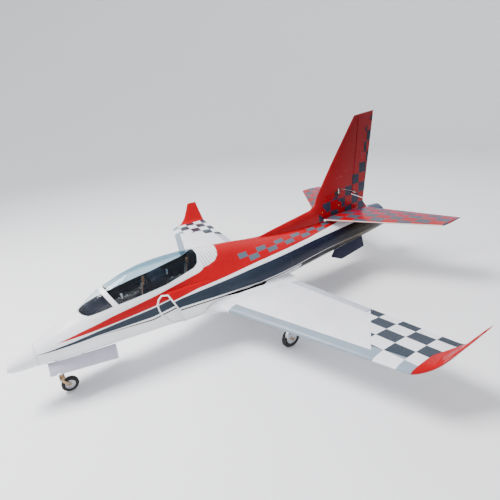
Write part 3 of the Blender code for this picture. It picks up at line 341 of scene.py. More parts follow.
def hull_paint():
    """White fuselage: red spear and shoulders, slate band with pinstripes, grey checks on the back."""
    p = Shades("hull_paint", coat=0.04)
    red_floor = p.curve(p.s, ((0.170, 0.2545), (0.290, 0.2640), (0.414, 0.2741), (0.555, 0.2877),
                              (0.717, 0.3075),
                              (0.850, 0.3125), (1.055, 0.3216), (1.373, 0.3325), (1.560, 0.3420),
                              (1.800, 0.3600)))
    red_roof = p.curve(p.s, ((0.170, 0.2545), (0.373, 0.2979), (0.5655, 0.3271), (0.750, 0.3573),
                             (0.770, 0.3640), (0.790, 0.6000)))
    skin = p.inverse(p.over(p.x, 0.1485))
    red = p.all(p.over(p.z, red_floor), p.inverse(p.over(p.z, red_roof)), p.over(p.s, 0.172))
    slate_roof = p.curve(p.s,
                         ((0.100, 0.2300), (0.313, 0.2600), (0.424, 0.2705), (0.526, 0.2792), (0.640, 0.2935),
                               (0.717, 0.2975), (1.036, 0.3065), (1.373, 0.3175), (1.677, 0.3220),
                               (1.992, 0.3300)))
    slate_floor = p.curve(p.s,
                          ((0.100, 0.2290), (0.313, 0.2438), (0.520, 0.2432), (0.632, 0.2600),
                           (0.717, 0.2560),
                                (1.024, 0.2350), (1.250, 0.2385), (1.455, 0.2500), (1.827, 0.2495),
                                (1.992, 0.2480)))
    slate = p.all(skin, p.inverse(p.over(p.z, slate_roof)), p.over(p.z, slate_floor), p.over(p.s, 0.104))
    pin_roof = p.math("SUBTRACT", slate_floor,
                      p.curve(p.s, ((0.30, 0.0012), (0.52, 0.0100), (1.0, 0.0060), (1.4, 0.0035))))
    pin_floor = p.math("SUBTRACT", pin_roof,
                       p.curve(p.s, ((0.30, 0.0004), (0.52, 0.0062), (1.0, 0.0052), (1.9, 0.0080))))
    pin = p.all(p.inverse(p.over(p.z, pin_roof)), p.over(p.z, pin_floor), p.over(p.s, 0.31),
                p.inverse(p.over(p.s, 1.30)))
    below = p.all(p.inverse(p.over(p.z, pin_roof)), p.over(p.s, 1.285))
    row_edge = p.line(p.s, 0.1030 + 0.0800, -0.0800)
    across = p.math("SUBTRACT", row_edge, p.x)
    in_rows = p.all(p.over(across, 0.0), p.inverse(p.over(across, 0.0390)), p.over(p.s, 0.954),
                    p.inverse(p.over(p.s, 1.56)), p.over(p.z, 0.30))
    board = p.checks(across, 0.0195, p.math("ADD", p.s, 0.0560), 0.0557)
    slate_colour = p.blend(p.curve(p.s, ((0.90, 0.0), (1.35, 1.0))), SLATE, (0.004, 0.006, 0.022))
    slate_colour = p.blend(p.curve(p.s, ((1.50, 0.0), (1.72, 1.0))), slate_colour, (0.016, 0.011, 0.006))
    colour = p.blend(slate, WHITE, slate_colour)
    colour = p.blend(pin, colour, (0.003, 0.003, 0.004))
    seam = p.all(p.inverse(p.over(p.z, slate_floor)), p.over(p.z, pin_roof), skin)
    colour = p.blend(p.all(seam, p.curve(p.s, ((1.30, 0.0), (1.60, 1.0)))), colour, (0.22, 0.165, 0.11))
    belly = p.blend(p.curve(p.s, ((1.50, 0.0), (1.75, 1.0))), (0.008, 0.008, 0.010), (0.060, 0.042, 0.026))
    colour = p.blend(below, colour, belly)
    colour = p.blend(red, colour, RED)
    colour = p.blend(p.all(in_rows, board, red), colour, CHECK_GREY)
    # Painted shade: the inner walls of the shell are painted near-black.
    colour = p.blend(inner_wall_shade(p), colour, (0.020, 0.021, 0.026))
    return gloss(p, colour, (p.groove(p.s, 1.2150), p.groove(p.s, 0.1000)))


def wing_paint(name, base):
    """White wing with a grey leading-edge strip and slate checks outboard of a slanting edge."""
    p = Shades(name, coat=0.04)
    lead = p.line(p.x, LEADING_EDGE[0] - 0.21 * LEADING_EDGE[1], LEADING_EDGE[1])
    from_lead = p.math("SUBTRACT", p.s, lead)
    strip = p.all(p.inverse(p.over(from_lead, 0.036)), p.over(p.x, 0.212), p.over(p.z, 0.10))
    row = p.math("SUBTRACT", p.s, p.line(p.x, 1.052 - 0.15 * 0.788, 0.15))
    column = p.math("SUBTRACT", p.x, 0.7155)
    board = p.checks(column, 0.0705, row, 0.0585)
    zone = p.over(p.math("MULTIPLY_ADD", p.x, 1.216, p.s), 1.1412 + 1.216 * 0.6608)
    checked = p.blend(board, WING_WHITE, p.blend(p.inverse(p.over(from_lead, 0.055)), SLATE, STRIP))
    colour = p.blend(strip, base, STRIP)
    colour = p.blend(zone, colour, checked)
    red = p.all(p.over(p.math("MULTIPLY_ADD", p.s, -0.20, p.x), 0.898 - 0.20 * 1.143), p.over(p.x, 0.8984))
    colour = p.blend(red, colour, RED)
    inboard = p.inverse(p.over(p.x, 0.85))
    lines = [p.all(p.groove(p.x, 0.1985, 0.0003), inboard),
             p.all(p.ring(0.520, 1.020, p.x, p.s, 0.0016, 0.0024), inboard)]
    return gloss(p, colour, lines)


def tail_paint():
    """Blue-grey tail ring, brown-black underneath."""
    p = Shades("tail_cone_paint", coat=0.04)
    return gloss(p, p.blend(p.over(p.z, 0.318, 0.02), (0.016, 0.012, 0.008), (0.045, 0.066, 0.120)))


def stab_paint():
    """Red and grey chessboard, swept with the surface, with a pale painted highlight along the leading edge.
    """
    p = Shades("tailplane_paint", coat=0.04)
    share = p.math("MULTIPLY", p.math("SUBTRACT", p.x, STAB_DATUM), 1 / (STAB_TIP - STAB_DATUM))
    lead = p.line(share, *STAB_LEAD)
    chord = p.line(share, 0.320, -0.161)
    fraction = p.math("DIVIDE", p.math("SUBTRACT", p.s, lead), chord)
    behind_hinge = p.math("SUBTRACT", p.s,
                          p.line(p.x, ELEVATOR_LINE[0] - ELEVATOR_LINE[1] * STAB_DATUM, ELEVATOR_LINE[1]))
    board = p.checks(p.math("SUBTRACT", p.x, 0.0300), 0.0580, p.math("ADD", behind_hinge, 1.0), 0.0520)
    red = p.blend(p.curve(fraction, ((0.25, 0.0), (0.7, 0.75))), (0.33, 0.0, 0.005), (0.36, 0.0, 0.050))
    grey = p.blend(p.curve(fraction, ((0.25, 0.0), (0.7, 0.8))), (0.055, 0.066, 0.090), (0.080, 0.058, 0.100))
    # Painted highlight: a pale band along the leading edge.
    edge = p.inverse(p.over(fraction, 0.012, 0.004))
    colour = p.blend(board, red, grey)
    return gloss(p, p.blend(p.math("MULTIPLY", edge, 0.8), colour, (0.75, 0.55, 0.50)),
                 (p.groove(behind_hinge, -0.034, 0.0003),))


def fin_paint():
    """Red with dark checks low down and up the rear edge; the red, darker than the hull's, and the checks
    darken towards the top as painted shade.
    """
    p = Shades("fin_paint", coat=0.04)
    board = p.checks(p.math("SUBTRACT", p.s, 1.5330), 0.0563, p.math("SUBTRACT", p.z, 0.3500), 0.0545)
    boundary = p.curve(p.s, ((1.46, 0.450), (1.5895, 0.4595), (1.700, 0.514), (1.702, 0.569), (1.758, 0.569),
                             (1.760, 0.622),
                             (1.812, 0.624), (1.815, 0.678), (1.848, 0.680), (1.850, 0.790), (1.90, 0.860)))
    zone = p.all(p.inverse(p.over(p.z, boundary)), p.over(p.z, 0.3620), p.over(p.s, 1.500),
                 *(p.inverse(p.ring(s, z, p.s, p.z, -1.0, 0.0215)) for s, z in FIN_SCREWS))
    # Painted shade: the checks and the red get darker towards the top of the fin.
    dark = p.blend(p.curve(p.z, ((0.45, 0.0), (0.65, 1.0))), (0.026, 0.028, 0.055), (0.006, 0.007, 0.018))
    colour = p.blend(p.curve(p.z, ((0.44, 0.0), (0.75, 1.0))), (0.31, 0.0, 0.004), (0.17, 0.0, 0.002))
    colour = p.blend(p.all(zone, board), colour, dark)
    hinge = p.math("SUBTRACT", p.s, p.line(p.z, RUDDER_LINE[0] - 0.0399, RUDDER_LINE[1]))
    lines = (p.all(p.groove(hinge, -0.022, 0.0003), p.over(p.z, 0.44)),)
    return gloss(p, colour, lines)


def plain(name, colour, roughness=0.4, metallic=0.0, scale=300.0, depth=0.00004, coat=0.0, spread=0.10,
          tone=0.14):
    """Moulded, cast or machined finish: cloudy tone, uneven gloss and fine surface grain."""
    p = Shades(name, metallic=metallic, coat=coat)
    cloud = p.noise(scale * 0.12, 5.0, 0.65)
    dark = tuple(c * 0.45 for c in colour)
    p.put("Base Color", p.blend(p.math("MULTIPLY", cloud, tone * 2), colour, dark))
    p.rough(max(0.02, roughness - spread), min(1.0, roughness + spread), p.noise(scale * 0.4, 4.0))
    p.relief((p.noise(scale * 3, 3.0), depth))
    return p.material


def brushed(name, colour, roughness=0.28, stretch=(1.0, 1.0, 14.0)):
    """Turned or brushed metal with fine lines and handling marks."""
    p = Shades(name, metallic=1.0)
    lines = p.noise(900.0, 4.0, 0.6, stretch)
    marks = p.noise(45.0, 5.0, 0.7)
    p.put("Base Color", p.blend(p.math("MULTIPLY", marks, 0.35), colour, tuple(c * 0.55 for c in colour)))
    p.rough(roughness - 0.08, roughness + 0.16, lines)
    p.relief((lines, 0.00002))
    return p.material


def thrust_metal():
    """Thin exhaust metal with straw and blue heat tints towards the rear."""
    p = Shades("thrust_metal", metallic=1.0)
    heat = p.math("MULTIPLY_ADD", p.noise(14.0, 4.0), 0.4, p.curve(p.s, ((1.45, -0.1), (1.95, 0.75))))
    colour = p.blend(heat, (0.55, 0.55, 0.57), (0.42, 0.30, 0.17))
    colour = p.blend(p.math("MULTIPLY", p.over(heat, 0.72, 0.3), 0.7), colour, (0.10, 0.14, 0.30))
    p.put("Base Color", colour)
    p.rough(0.22, 0.45, p.noise(160.0, 4.0, 0.6, (1, 0.1, 1)))
    p.relief((p.noise(500.0, 3.0), 0.00003))
    return p.material


def tyre_material():
    p = Shades("tyre_rubber")
    dust = p.noise(120.0, 5.0, 0.7)
    p.put("Base Color", p.blend(p.math("MULTIPLY", dust, 0.5), (0.018, 0.018, 0.019), (0.075, 0.070, 0.064)))
    p.rough(0.62, 0.9, dust)
    p.relief((p.noise(2600.0, 2.0), 0.00005), (p.cells(900.0), 0.00006))
    return p.material


def leather_material():
    """Tan grained leather, darker in noisy patches."""
    p = Shades("tan_leather")
    grain = p.cells(1500.0, "DISTANCE_TO_EDGE")
    wear = p.noise(70.0, 5.0, 0.7)
    p.put("Base Color", p.blend(wear, (0.36, 0.13, 0.055), (0.20, 0.065, 0.028)))
    p.rough(0.42, 0.68, wear)
    p.relief((p.math("MINIMUM", grain, 0.2), 0.00025), (p.noise(3000.0, 2.0), 0.00003))
    p.set("Sheen Weight", 0.08)
    return p.material


def webbing_material():
    p = Shades("harness_webbing")
    weave = p.math("MULTIPLY", p.math("SINE", p.math("MULTIPLY", p.side, 5200.0)),
                   p.math("SINE", p.math("MULTIPLY", p.z, 5200.0)))
    p.put("Base Color", p.blend(p.math("MULTIPLY_ADD", weave, 0.3, 0.5), (0.10, 0.11, 0.13),
                                (0.19, 0.20, 0.22)))
    p.set("Roughness", 0.85)
    p.set("Sheen Weight", 0.3)
    p.relief((weave, 0.00012))
    return p.material


def glass_material():
    """Clear canopy with a faint blue tint, polish swirls and a soft edge."""
    p = Shades("canopy_glazing")
    p.put("Base Color", p.blend(p.over(p.z, 0.385, 0.022), (0.86, 0.91, 0.93), (0.40, 0.55, 0.62)))
    p.set("Transmission Weight", 1.0)
    p.set("IOR", 1.10)
    p.set("Coat Weight", 0.25)
    p.rough(0.0, 0.035, p.noise(35.0, 5.0))
    return p.material


def ribbed_paint():
    """White hatch moulding, with soft hoops pressed into the hood behind the rear seat; painted shade darkens
    the valleys between the hoops and the inner faces.
    """
    p = Shades("hatch_paint", coat=0.35)
    arc = p.math("SUBTRACT", p.s, p.math("MULTIPLY", p.x, 0.22))
    hoop = p.math("SINE", p.math("MULTIPLY", arc, 2 * math.pi / 0.0145))
    region = p.over(p.s, 0.772, 0.012)
    # Painted shade: the valleys between the hoops are darkened.
    hoop_valley_shade = p.math("MULTIPLY", p.all(region, p.inverse(p.over(hoop, -0.55, 0.5))), 0.48)
    colour = p.blend(hoop_valley_shade, WHITE, (0.42, 0.42, 0.46))
    # Painted shade: the inner faces of the moulding are painted near-black.
    colour = p.blend(inner_wall_shade(p), colour, (0.012, 0.013, 0.022))
    p.put("Base Color", p.blend(p.math("MULTIPLY", p.noise(12.0), 0.05), colour, (0.6, 0.6, 0.6)))
    p.rough(0.16, 0.32, p.noise(60.0))
    p.relief((p.all(region, hoop), 0.0012), (p.noise(1400.0), 0.000012))
    return p.material


def battery_material():
    p = Shades("pack_wrap", coat=0.3)
    band = p.over(p.math("SINE", p.math("MULTIPLY", p.s, 2 * math.pi / 0.035)), 0.9, 0.1)
    p.put("Base Color", p.blend(band, (0.03, 0.09, 0.33), (0.01, 0.03, 0.12)))
    p.rough(0.25, 0.45, p.noise(80.0))
    p.relief((p.noise(260.0), 0.0002))
    return p.material


def make_materials():
    return {
        "hull": hull_paint(), "hatch": ribbed_paint(), "wing": wing_paint("wing_paint", WING_WHITE),
        "flap": wing_paint("flap_paint", SILVER), "stab": stab_paint(), "fin": fin_paint(),
        "slate": tail_paint(), "navy": gloss_plain("ventral_paint", NAVY),
        # Nose doors and wing servo hatches: white paint darkened to lavender grey as painted shade.
        "door": gloss_plain("shaded_door_paint", (0.52, 0.50, 0.60)),
        "lip": gloss_plain("lip_paint", (0.85, 0.85, 0.85)),
        "black": plain("cockpit_black", (0.006, 0.007, 0.020), 0.6, depth=0.0001),
        "panel": plain("panel_grey", (0.06, 0.065, 0.075), 0.5),
        "leather": leather_material(), "webbing": webbing_material(), "glass": glass_material(),
        "alloy": brushed("machined_alloy", (0.72, 0.73, 0.75)),
        "steel": brushed("bright_steel", (0.60, 0.60, 0.62), 0.2),
        "chrome": brushed("hard_chrome", (0.82, 0.83, 0.85), 0.12),
        "brass": brushed("brass_screws", (0.80, 0.52, 0.20), 0.25),
        "bronze": brushed("bronze_anodised", (0.40, 0.28, 0.16), 0.32),
        "dark_metal": brushed("dark_anodised", (0.07, 0.07, 0.08), 0.35),
        "thrust": thrust_metal(), "tyre": tyre_material(),
        "nylon": plain("white_nylon", (0.80, 0.79, 0.76), 0.42),
        "carbon": plain("servo_black", (0.02, 0.02, 0.022), 0.4, coat=0.04),
        "tank": plain("tank_nylon", (0.72, 0.70, 0.60), 0.45),
        "pack": battery_material(), "red": gloss_plain("red_fittings", RED),
        "screen": plain("dial_glass", (0.02, 0.05, 0.07), 0.08),
        "dial": plain("dial_marks", (0.65, 0.66, 0.62), 0.5),
        "spring": brushed("spring_steel", (0.45, 0.45, 0.47), 0.3),
    }


def gloss_plain(name, colour):
    p = Shades(name, coat=0.04)
    return gloss(p, colour)


LOOK = make_materials()


# Mesh tools

def new_object(name, mesh, look=None):
    made = bpy.data.objects.new(name, mesh)
    bpy.context.scene.collection.objects.link(made)
    if look:
        mesh.materials.clear()
        mesh.materials.append(LOOK[look])
    return made


def finish_mesh(shape, name, angle=30):
    bmesh.ops.recalc_face_normals(shape, faces=shape.faces)
    mesh = bpy.data.meshes.new(name)
    shape.to_mesh(mesh)
    shape.free()
    mesh.shade_smooth()
    mesh.set_sharp_from_angle(angle=math.radians(angle))
    return mesh


def loft(name, rings, look=None, caps=True, loop=True, angle=30):
    shape = bmesh.new()
    rows = [[shape.verts.new(point) for point in ring] for ring in rings]
    count = len(rows[0])
    for row, following in zip(rows, rows[1:]):
        for i in range(count if loop else count - 1):
            j = (i + 1) % count
            shape.faces.new((row[i], row[j], following[j], following[i]))
    if caps:
        shape.faces.new(rows[0])
        shape.faces.new(rows[-1])
    return new_object(name, finish_mesh(shape, name, angle), look)


def applied(made, angle=30):
    """Applies an object's modifiers."""
    bpy.context.view_layer.update()
    evaluated = made.evaluated_get(bpy.context.evaluated_depsgraph_get())
    mesh = bpy.data.meshes.new_from_object(evaluated)
    made.modifiers.clear()
    made.data = mesh
    mesh.shade_smooth()
    mesh.set_sharp_from_angle(angle=math.radians(angle))
    return made


def boolean(target, others, operation="DIFFERENCE", angle=30):
    for other in others:
        step = target.modifiers.new("cut", "BOOLEAN")
        step.operation = operation
        step.object = other
        step.solver = "EXACT"
        applied(target, angle)
        bpy.data.objects.remove(other)
    return target


def thicken(made, thickness):
    step = made.modifiers.new("wall", "SOLIDIFY")
    step.thickness = thickness
    step.offset = -1
    step.use_even_offset = True
    return applied(made)


def rounded(made, width, segments=2, angle=30):
    step = made.modifiers.new("edge", "BEVEL")
    step.width = width
    step.segments = segments
    step.limit_method = "ANGLE"
    step.angle_limit = math.radians(40)
    return applied(made, angle)


def side_prism(outline, x_low=-0.3, x_high=0.3):
    return loft("cutter", [[(x, at(s), z) for s, z in outline] for x in (x_low, x_high)])


def plan_prism(outline, low, high):
    return loft("cutter", [[(x, at(s), z) for x, s in outline] for z in (low, high)])


def block(name, low, high, look=None, bevel=0.0):
    """Box between two corners, given as x, station, height, with edges rounded when a bevel is given."""
    (x0, x1), (s0, s1), (z0, z1) = (sorted(pair) for pair in zip(low, high))
    rings = [[(x, at(s), z) for x, s in ((x0, s0), (x1, s0), (x1, s1), (x0, s1))] for z in (z0, z1)]
    made = loft(name, rings, look)
    return rounded(made, bevel) if bevel else made


def spun(name, profile, centre, direction, look=None, steps=48, closed=False):
    """Profile of (distance along, radius) turned about a direction through a world point."""
    turn = Vector((0, 0, 1)).rotation_difference(Vector(direction)).to_matrix()
    rings = []
    for i in range(steps):
        angle = math.tau * i / steps
        rings.append([
            Vector(centre) + turn @ Vector((r * math.cos(angle), r * math.sin(angle), a)) for a, r in profile
        ])
    shape = bmesh.new()
    rows = [[shape.verts.new(point) for point in ring] for ring in rings]
    for i, row in enumerate(rows):
        following = rows[(i + 1) % steps]
        for j in range(len(profile) if closed else len(profile) - 1):
            k = (j + 1) % len(profile)
            shape.faces.new((row[j], row[k], following[k], following[j]))
    bmesh.ops.remove_doubles(shape, verts=shape.verts, dist=0.000002)
    return new_object(name, finish_mesh(shape, name, 32), look)


def rod_profile(radius, length):
    return (0.0, 0.0), (0.0, radius), (length, radius), (length, 0.0)


def sleeve_profile(inner, outer, length):
    return (0.0, inner), (0.0, outer), (length, outer), (length, inner)


def point(x, station, z):
    return Vector((x, at(station), z))


def tube(name, points, radius, look=None, sides=10, loop=False):
    """Round bar through world points."""
    data = bpy.data.curves.new(name, "CURVE")
    data.dimensions = "3D"
    data.bevel_depth = radius
    data.bevel_resolution = sides // 4
    data.use_fill_caps = True
    spline = data.splines.new("POLY")
    spline.points.add(len(points) - 1)
    for target, place in zip(spline.points, points):
        target.co = (*place, 1)
    spline.use_cyclic_u = loop
    guide = bpy.data.objects.new(name, data)
    bpy.context.scene.collection.objects.link(guide)
    bpy.context.view_layer.update()
    mesh = bpy.data.meshes.new_from_object(guide.evaluated_get(bpy.context.evaluated_depsgraph_get()))
    bpy.data.objects.remove(guide)
    shape = bmesh.new()
    shape.from_mesh(mesh)
    bmesh.ops.remove_doubles(shape, verts=shape.verts, dist=0.000005)
    return new_object(name, finish_mesh(shape, name, 40), look)


def merged(name, pieces, look=None):
    """Several shapes as one piece."""
    shape = bmesh.new()
    for piece in pieces:
        piece.data.transform(piece.matrix_world)
        shape.from_mesh(piece.data)
        bpy.data.objects.remove(piece)
    mesh = bpy.data.meshes.new(name)
    shape.to_mesh(mesh)
    shape.free()
    mesh.shade_smooth()
    mesh.set_sharp_from_angle(angle=math.radians(32))
    return new_object(name, mesh, look)


def settle(made, body, slot, *replaced):
    """Hands a finished piece to the frame."""
    if made.type == "MESH" and made.data.materials and len(made.data.materials) > 1:
        keep = made.data.materials[0]
        made.data.materials.clear()
        made.data.materials.append(keep)
    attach(made, body)
    if replaced:
        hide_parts(*replaced)
    return made


# Fuselage

def full_bulge(station):
    return curve_value(DUCT_BULGE, station)


def hull_bulge(station):
    full = full_bulge(station)
    if station > CHEEK_END:
        return full
    rise = min(max((station - 0.64) / (CHEEK_END - 0.64), 0.0), 1.0)
    return full * CHEEK_SEAT * rise * rise * (3 - 2 * rise)


def hull_ring(station, inset=0.0, bulge=hull_bulge, points=HULL_POINTS):
    """One fuselage section: an oval with a duct shoulder on each side."""
    top = curve_value(TOP_LINE, station) - inset
    bottom = curve_value(BOTTOM_LINE, station) + inset
    width = curve_value(HALF_WIDTH, station) - inset
    waist = curve_value(WAIST_HEIGHT, station)
    power = 2 / curve_value(TOP_POWER, station)
    ring = []
    for i in range(points):
        angle = math.tau * i / points
        sine, cosine = math.sin(angle), math.cos(angle)
        if cosine >= 0:
            x = width * math.copysign(abs(sine) ** power, sine)
            z = waist + (top - waist) * cosine ** power
        else:
            x = width * sine
            z = waist + (waist - bottom) * cosine
        reach = (z - waist + 0.008) / BULGE_HALF_HEIGHT
        x += bulge(station) * math.tanh(6 * sine) / (1 + reach ** 4)
        ring.append((x, at(station), z))
    return ring


def hull(name, stations, look=None, inset=0.0, bulge=hull_bulge, wall=0.0, caps=False):
    made = loft(name, [hull_ring(s, inset, bulge) for s in stations], look, caps=caps)
    return thicken(made, wall) if wall else made


def flank(station, height, bulge):
    """Half width of the fuselage section at a height."""
    waist = curve_value(WAIST_HEIGHT, station)
    width = curve_value(HALF_WIDTH, station)
    if height > waist:
        power = curve_value(TOP_POWER, station)
        share = min(1.0, (height - waist) / (curve_value(TOP_LINE, station) - waist))
        x = width * (1 - share ** power) ** (1 / power)
    else:
        share = min(1.0, (waist - height) / (waist - curve_value(BOTTOM_LINE, station)))
        x = width * math.sqrt(1 - share ** 2)
    reach = (height - waist + 0.008) / BULGE_HALF_HEIGHT
    return x + bulge(station) / (1 + reach ** 4)


def root_fairing(side, grow=0.0):
    return wing_loft("root_fairing", side, start=FAIRING_START, end=WING_ROOT - GAP, grow=grow)


def clearance_hull():
    return hull("hull_clearance", stepped(0.05, 1.95), inset=-GAP, caps=True)


def build_fuselage():
    stations = stepped(0.1003, CHEEK_END - 0.0005) + stepped(CHEEK_END + 0.0005, 1.90)
    body = hull("fuselage_skin", stations, "hull", wall=SKIN)
    boolean(body, [root_fairing(side) for _, side in SIDES], "UNION")
    cuts = [side_prism(HATCH_LINE + HATCH_ROOF),
            plan_prism([(-0.044, 0.125), (0.044, 0.125), (0.056, 0.368), (-0.056, 0.368)], 0.10, 0.200)]
    cuts += [block("duct_hole", (side * 0.06, 0.735, 0.20), (side * 0.1395, 0.785, 0.285)) for _,
             side in SIDES]
    boolean(body, cuts)
    settle(body, "airframe", "shell_white", "fuselage_shell")
    nose = hull("nose_cap", [0.0, 0.001, 0.003, 0.007, 0.012] + stepped(0.018, 0.0994, 0.006) + [0.0997],
                "hull", caps=True)
    settle(nose, "airframe", "shell_white", "nose_cone")
    tail = hull("tail_ring", stepped(1.9003, 1.992, 0.008), "slate", wall=SKIN)
    settle(tail, "airframe", "slate_paint", "tail_cone")


def canopy_skin(name, look, wall, inset=0.0):
    return hull(name, stepped(0.250, 0.90, 0.009), look, inset, wall=wall)


def shifted_outline(outline, amount):
    centre = sum(s for s, z in outline) / len(outline)
    floor = min(z for s, z in outline)
    return [
        (s + math.copysign(amount, centre - s), z + (amount if z < floor + 0.15 else 0.0)) for s, z in outline
    ]


def build_canopy():
    shell = canopy_skin("canopy_moulding", "hatch", 0.0034)
    boolean(shell, [side_prism(shifted_outline(HATCH_LINE + HATCH_ROOF, GAP))], "INTERSECT")
    boolean(shell, [side_prism(WINDSCREEN_LINE), side_prism(WINDOW_LINE)])
    settle(shell, "canopy", "shell_white", "canopy_frame")
    for name, outline, node in (("windscreen_pane", WINDSCREEN_LINE, "windscreen_glass"),
                                ("canopy_pane", WINDOW_LINE, "canopy_glass")):
        pane = canopy_skin(name, "glass", 0.0012, inset=0.0002)
        boolean(pane, [side_prism(shifted_outline(outline, GAP))], "INTERSECT")
        settle(pane, "canopy", "glazing", node)


def mouth_station(height):
    return MOUTH_TOP[0] + (MOUTH_TOP[1] - height) * MOUTH_RAKE


def lip_route(side):
    """Mouth of an intake: up the cheek's raked front edge and round over the fuselage side."""
    route = [(flank(mouth_station(z), z, full_bulge) - LIP_RADIUS / 2, mouth_station(z), z)
             for z in spaced(0.318, 0.160, 26)]
    seat = ((0.640, 0.155), (0.620, 0.161), (0.602, 0.173), (0.585, 0.190), (0.570, 0.217), (0.556, 0.240),
            (0.549, 0.262), (0.547, 0.288), (0.556, 0.306), (0.570, 0.317))
    smooth = []
    for a, b in zip(seat, seat[1:]):
        smooth += [(a[0] + (b[0] - a[0]) * t, a[1] + (b[1] - a[1]) * t) for t in (0.0, 0.33, 0.67)]
    route += [(flank(s, z, hull_bulge) + LIP_RADIUS / 3, s, z) for s, z in smooth + [seat[-1]]]
    return [point(side * x, s, z) for x, s, z in route]


def build_intakes():
    for label, side in SIDES:
        stations = stepped(0.565, 0.86, 0.010)
        cheek = hull(f"intake_skin_{label}", stations, "hull", bulge=full_bulge, caps=True)
        outline = (MOUTH_TOP, (mouth_station(0.160), 0.160), (0.672, 0.145), (CHEEK_END - GAP, 0.145),
                   (CHEEK_END - GAP, MOUTH_TOP[1]))
        boolean(cheek, [side_prism(outline, side * 0.05, side * 0.2)], "INTERSECT")
        duct = hull("duct", stations, bulge=full_bulge, inset=0.0035, caps=True)
        boolean(duct, [side_prism(((0.56, 0.308), (0.56, 0.168), (0.790, 0.168), (0.790, 0.308)),
                                  side * 0.05, side * 0.2)], "INTERSECT")
        boolean(cheek, [duct, clearance_hull(), root_fairing(side, GAP)])
        lip = tube(f"intake_lip_{label}", lip_route(side), LIP_RADIUS, "lip", 16, True)
        settle(cheek, "airframe", "shell_white", f"intake_cheek_{label}")
        settle(lip, "airframe", "shell_white")
        # A black plate deep in each intake duct, standing in for painted shade there.
        duct_shade_sheet = block(f"duct_shade_plate_{label}", (side * 0.112, 0.700, 0.19), (side * 0.116, 0.780, 0.292),
                      "black")
        settle(duct_shade_sheet, "airframe", "cockpit_black")


# Wing

def airfoil_half(f):
    return 5 * (0.2969 * math.sqrt(f) - 0.126 * f - 0.3516 * f ** 2 + 0.2843 * f ** 3 - 0.1015 * f ** 4)


def airfoil_ring(count=29):
    fractions = [(1 - math.cos(math.pi * i / (count - 1))) / 2 for i in range(count)]
    return [(f, 1) for f in reversed(fractions)] + [(f, -1) for f in fractions[1:]]


def wing_station(x):
    fillet = max(x - 0.150, 0.0)
    lead = LEADING_EDGE[0] + LEADING_EDGE[1] * (x - 0.21) - 0.050 * math.exp(-fillet / 0.025)
    trail = TRAILING_EDGE[0] + TRAILING_EDGE[1] * (x - 0.20) + 0.030 * math.exp(-fillet / 0.020)
    height = WING_HEIGHT[0] + WING_HEIGHT[1] * (x - 0.20)
    thickness = WING_THICKNESS[0] + WING_THICKNESS[1] * (x - 0.20) + 0.020 * math.exp(-fillet / 0.015)
    return lead, trail, height, thickness


def wing_ring(x, side, grow=0.0):
    lead, trail, height, thickness = wing_station(x)
    lead, chord = lead - grow, trail - lead + 2 * grow
    return [
        (side * x, at(lead + chord * f), height + sign * (thickness * airfoil_half(f) + 0.0004 + grow))
        for f, sign in airfoil_ring()
    ]


def wing_loft(name, side, look=None, start=WING_ROOT, end=WING_TIP, grow=0.0):
    inner = spaced(start, min(end, 0.24), 14 if start < 0.2 else 2)
    outer = spaced(0.24, end, 20)[1:] if end > 0.24 else []
    return loft(name, [wing_ring(x, side, grow) for x in inner + outer], look)


def hinge_station(x):
    return HINGE_LINE[0] + HINGE_LINE[1] * (x - 0.19)


def surface_nose(ends, half_angle):
    depth, rear = 0.05, 0.16
    back = depth * math.tan(math.radians(half_angle))
    return loft("nose_cutter", [
        [(x, at(s), z), (x, at(s + back), z + depth), (x, at(s + rear), z + depth),
         (x, at(s + rear), z - depth), (x, at(s + back), z - depth)] for x, s, z in ends
    ])


def build_wing(label, side):
    wing = wing_loft(f"wing_panel_{label}", side, "wing")
    inner, outer = FLAP_SPAN[0] - 0.0015, AILERON_SPAN[1] + 0.0015
    bay = [(side * inner, hinge_station(inner) - HINGE_GAP), (side * outer, hinge_station(outer) - HINGE_GAP),
           (side * outer, 1.40), (side * inner, 1.40)]
    well = spun("well", rod_profile(0.0535, 0.0978), point(side * 0.228, 1.016, 0.12),
                (0, 0, 1), steps=64)
    slot = block("slot", (side * 0.26, 0.961, 0.12), (side * 0.424, 1.036, 0.2125))
    boolean(wing, [plan_prism(bay, 0.1, 0.3), well, slot])
    settle(wing, "airframe", "wing_white", f"wing_{label}")
    for name, span, angle, look in (("flap", FLAP_SPAN, 38, "flap"), ("aileron", AILERON_SPAN, 28, "wing")):
        ends = [(side * x, hinge_station(x), wing_station(x)[2]) for x in span]
        made = wing_loft(f"{name}_panel_{label}", side, look)
        boolean(made, [surface_nose(ends, angle)], "INTERSECT")
        settle(made, f"{name}_{label}", "wing_white", f"{name}_{label}")
        for i, share in enumerate(HINGE_SHARES):
            x, s, z = (a + (b - a) * share for a, b in zip(*ends))
            pin = tube(f"{name}_hinge_{label}_{i}",
                       [point(x - 0.008, s - 0.0006, z), point(x + 0.008, s - 0.0006, z)],
                       0.0008, "steel", 8)
            settle(pin, f"{name}_{label}", "steel")
    build_wing_underside(label, side)
    build_winglet(label, side)


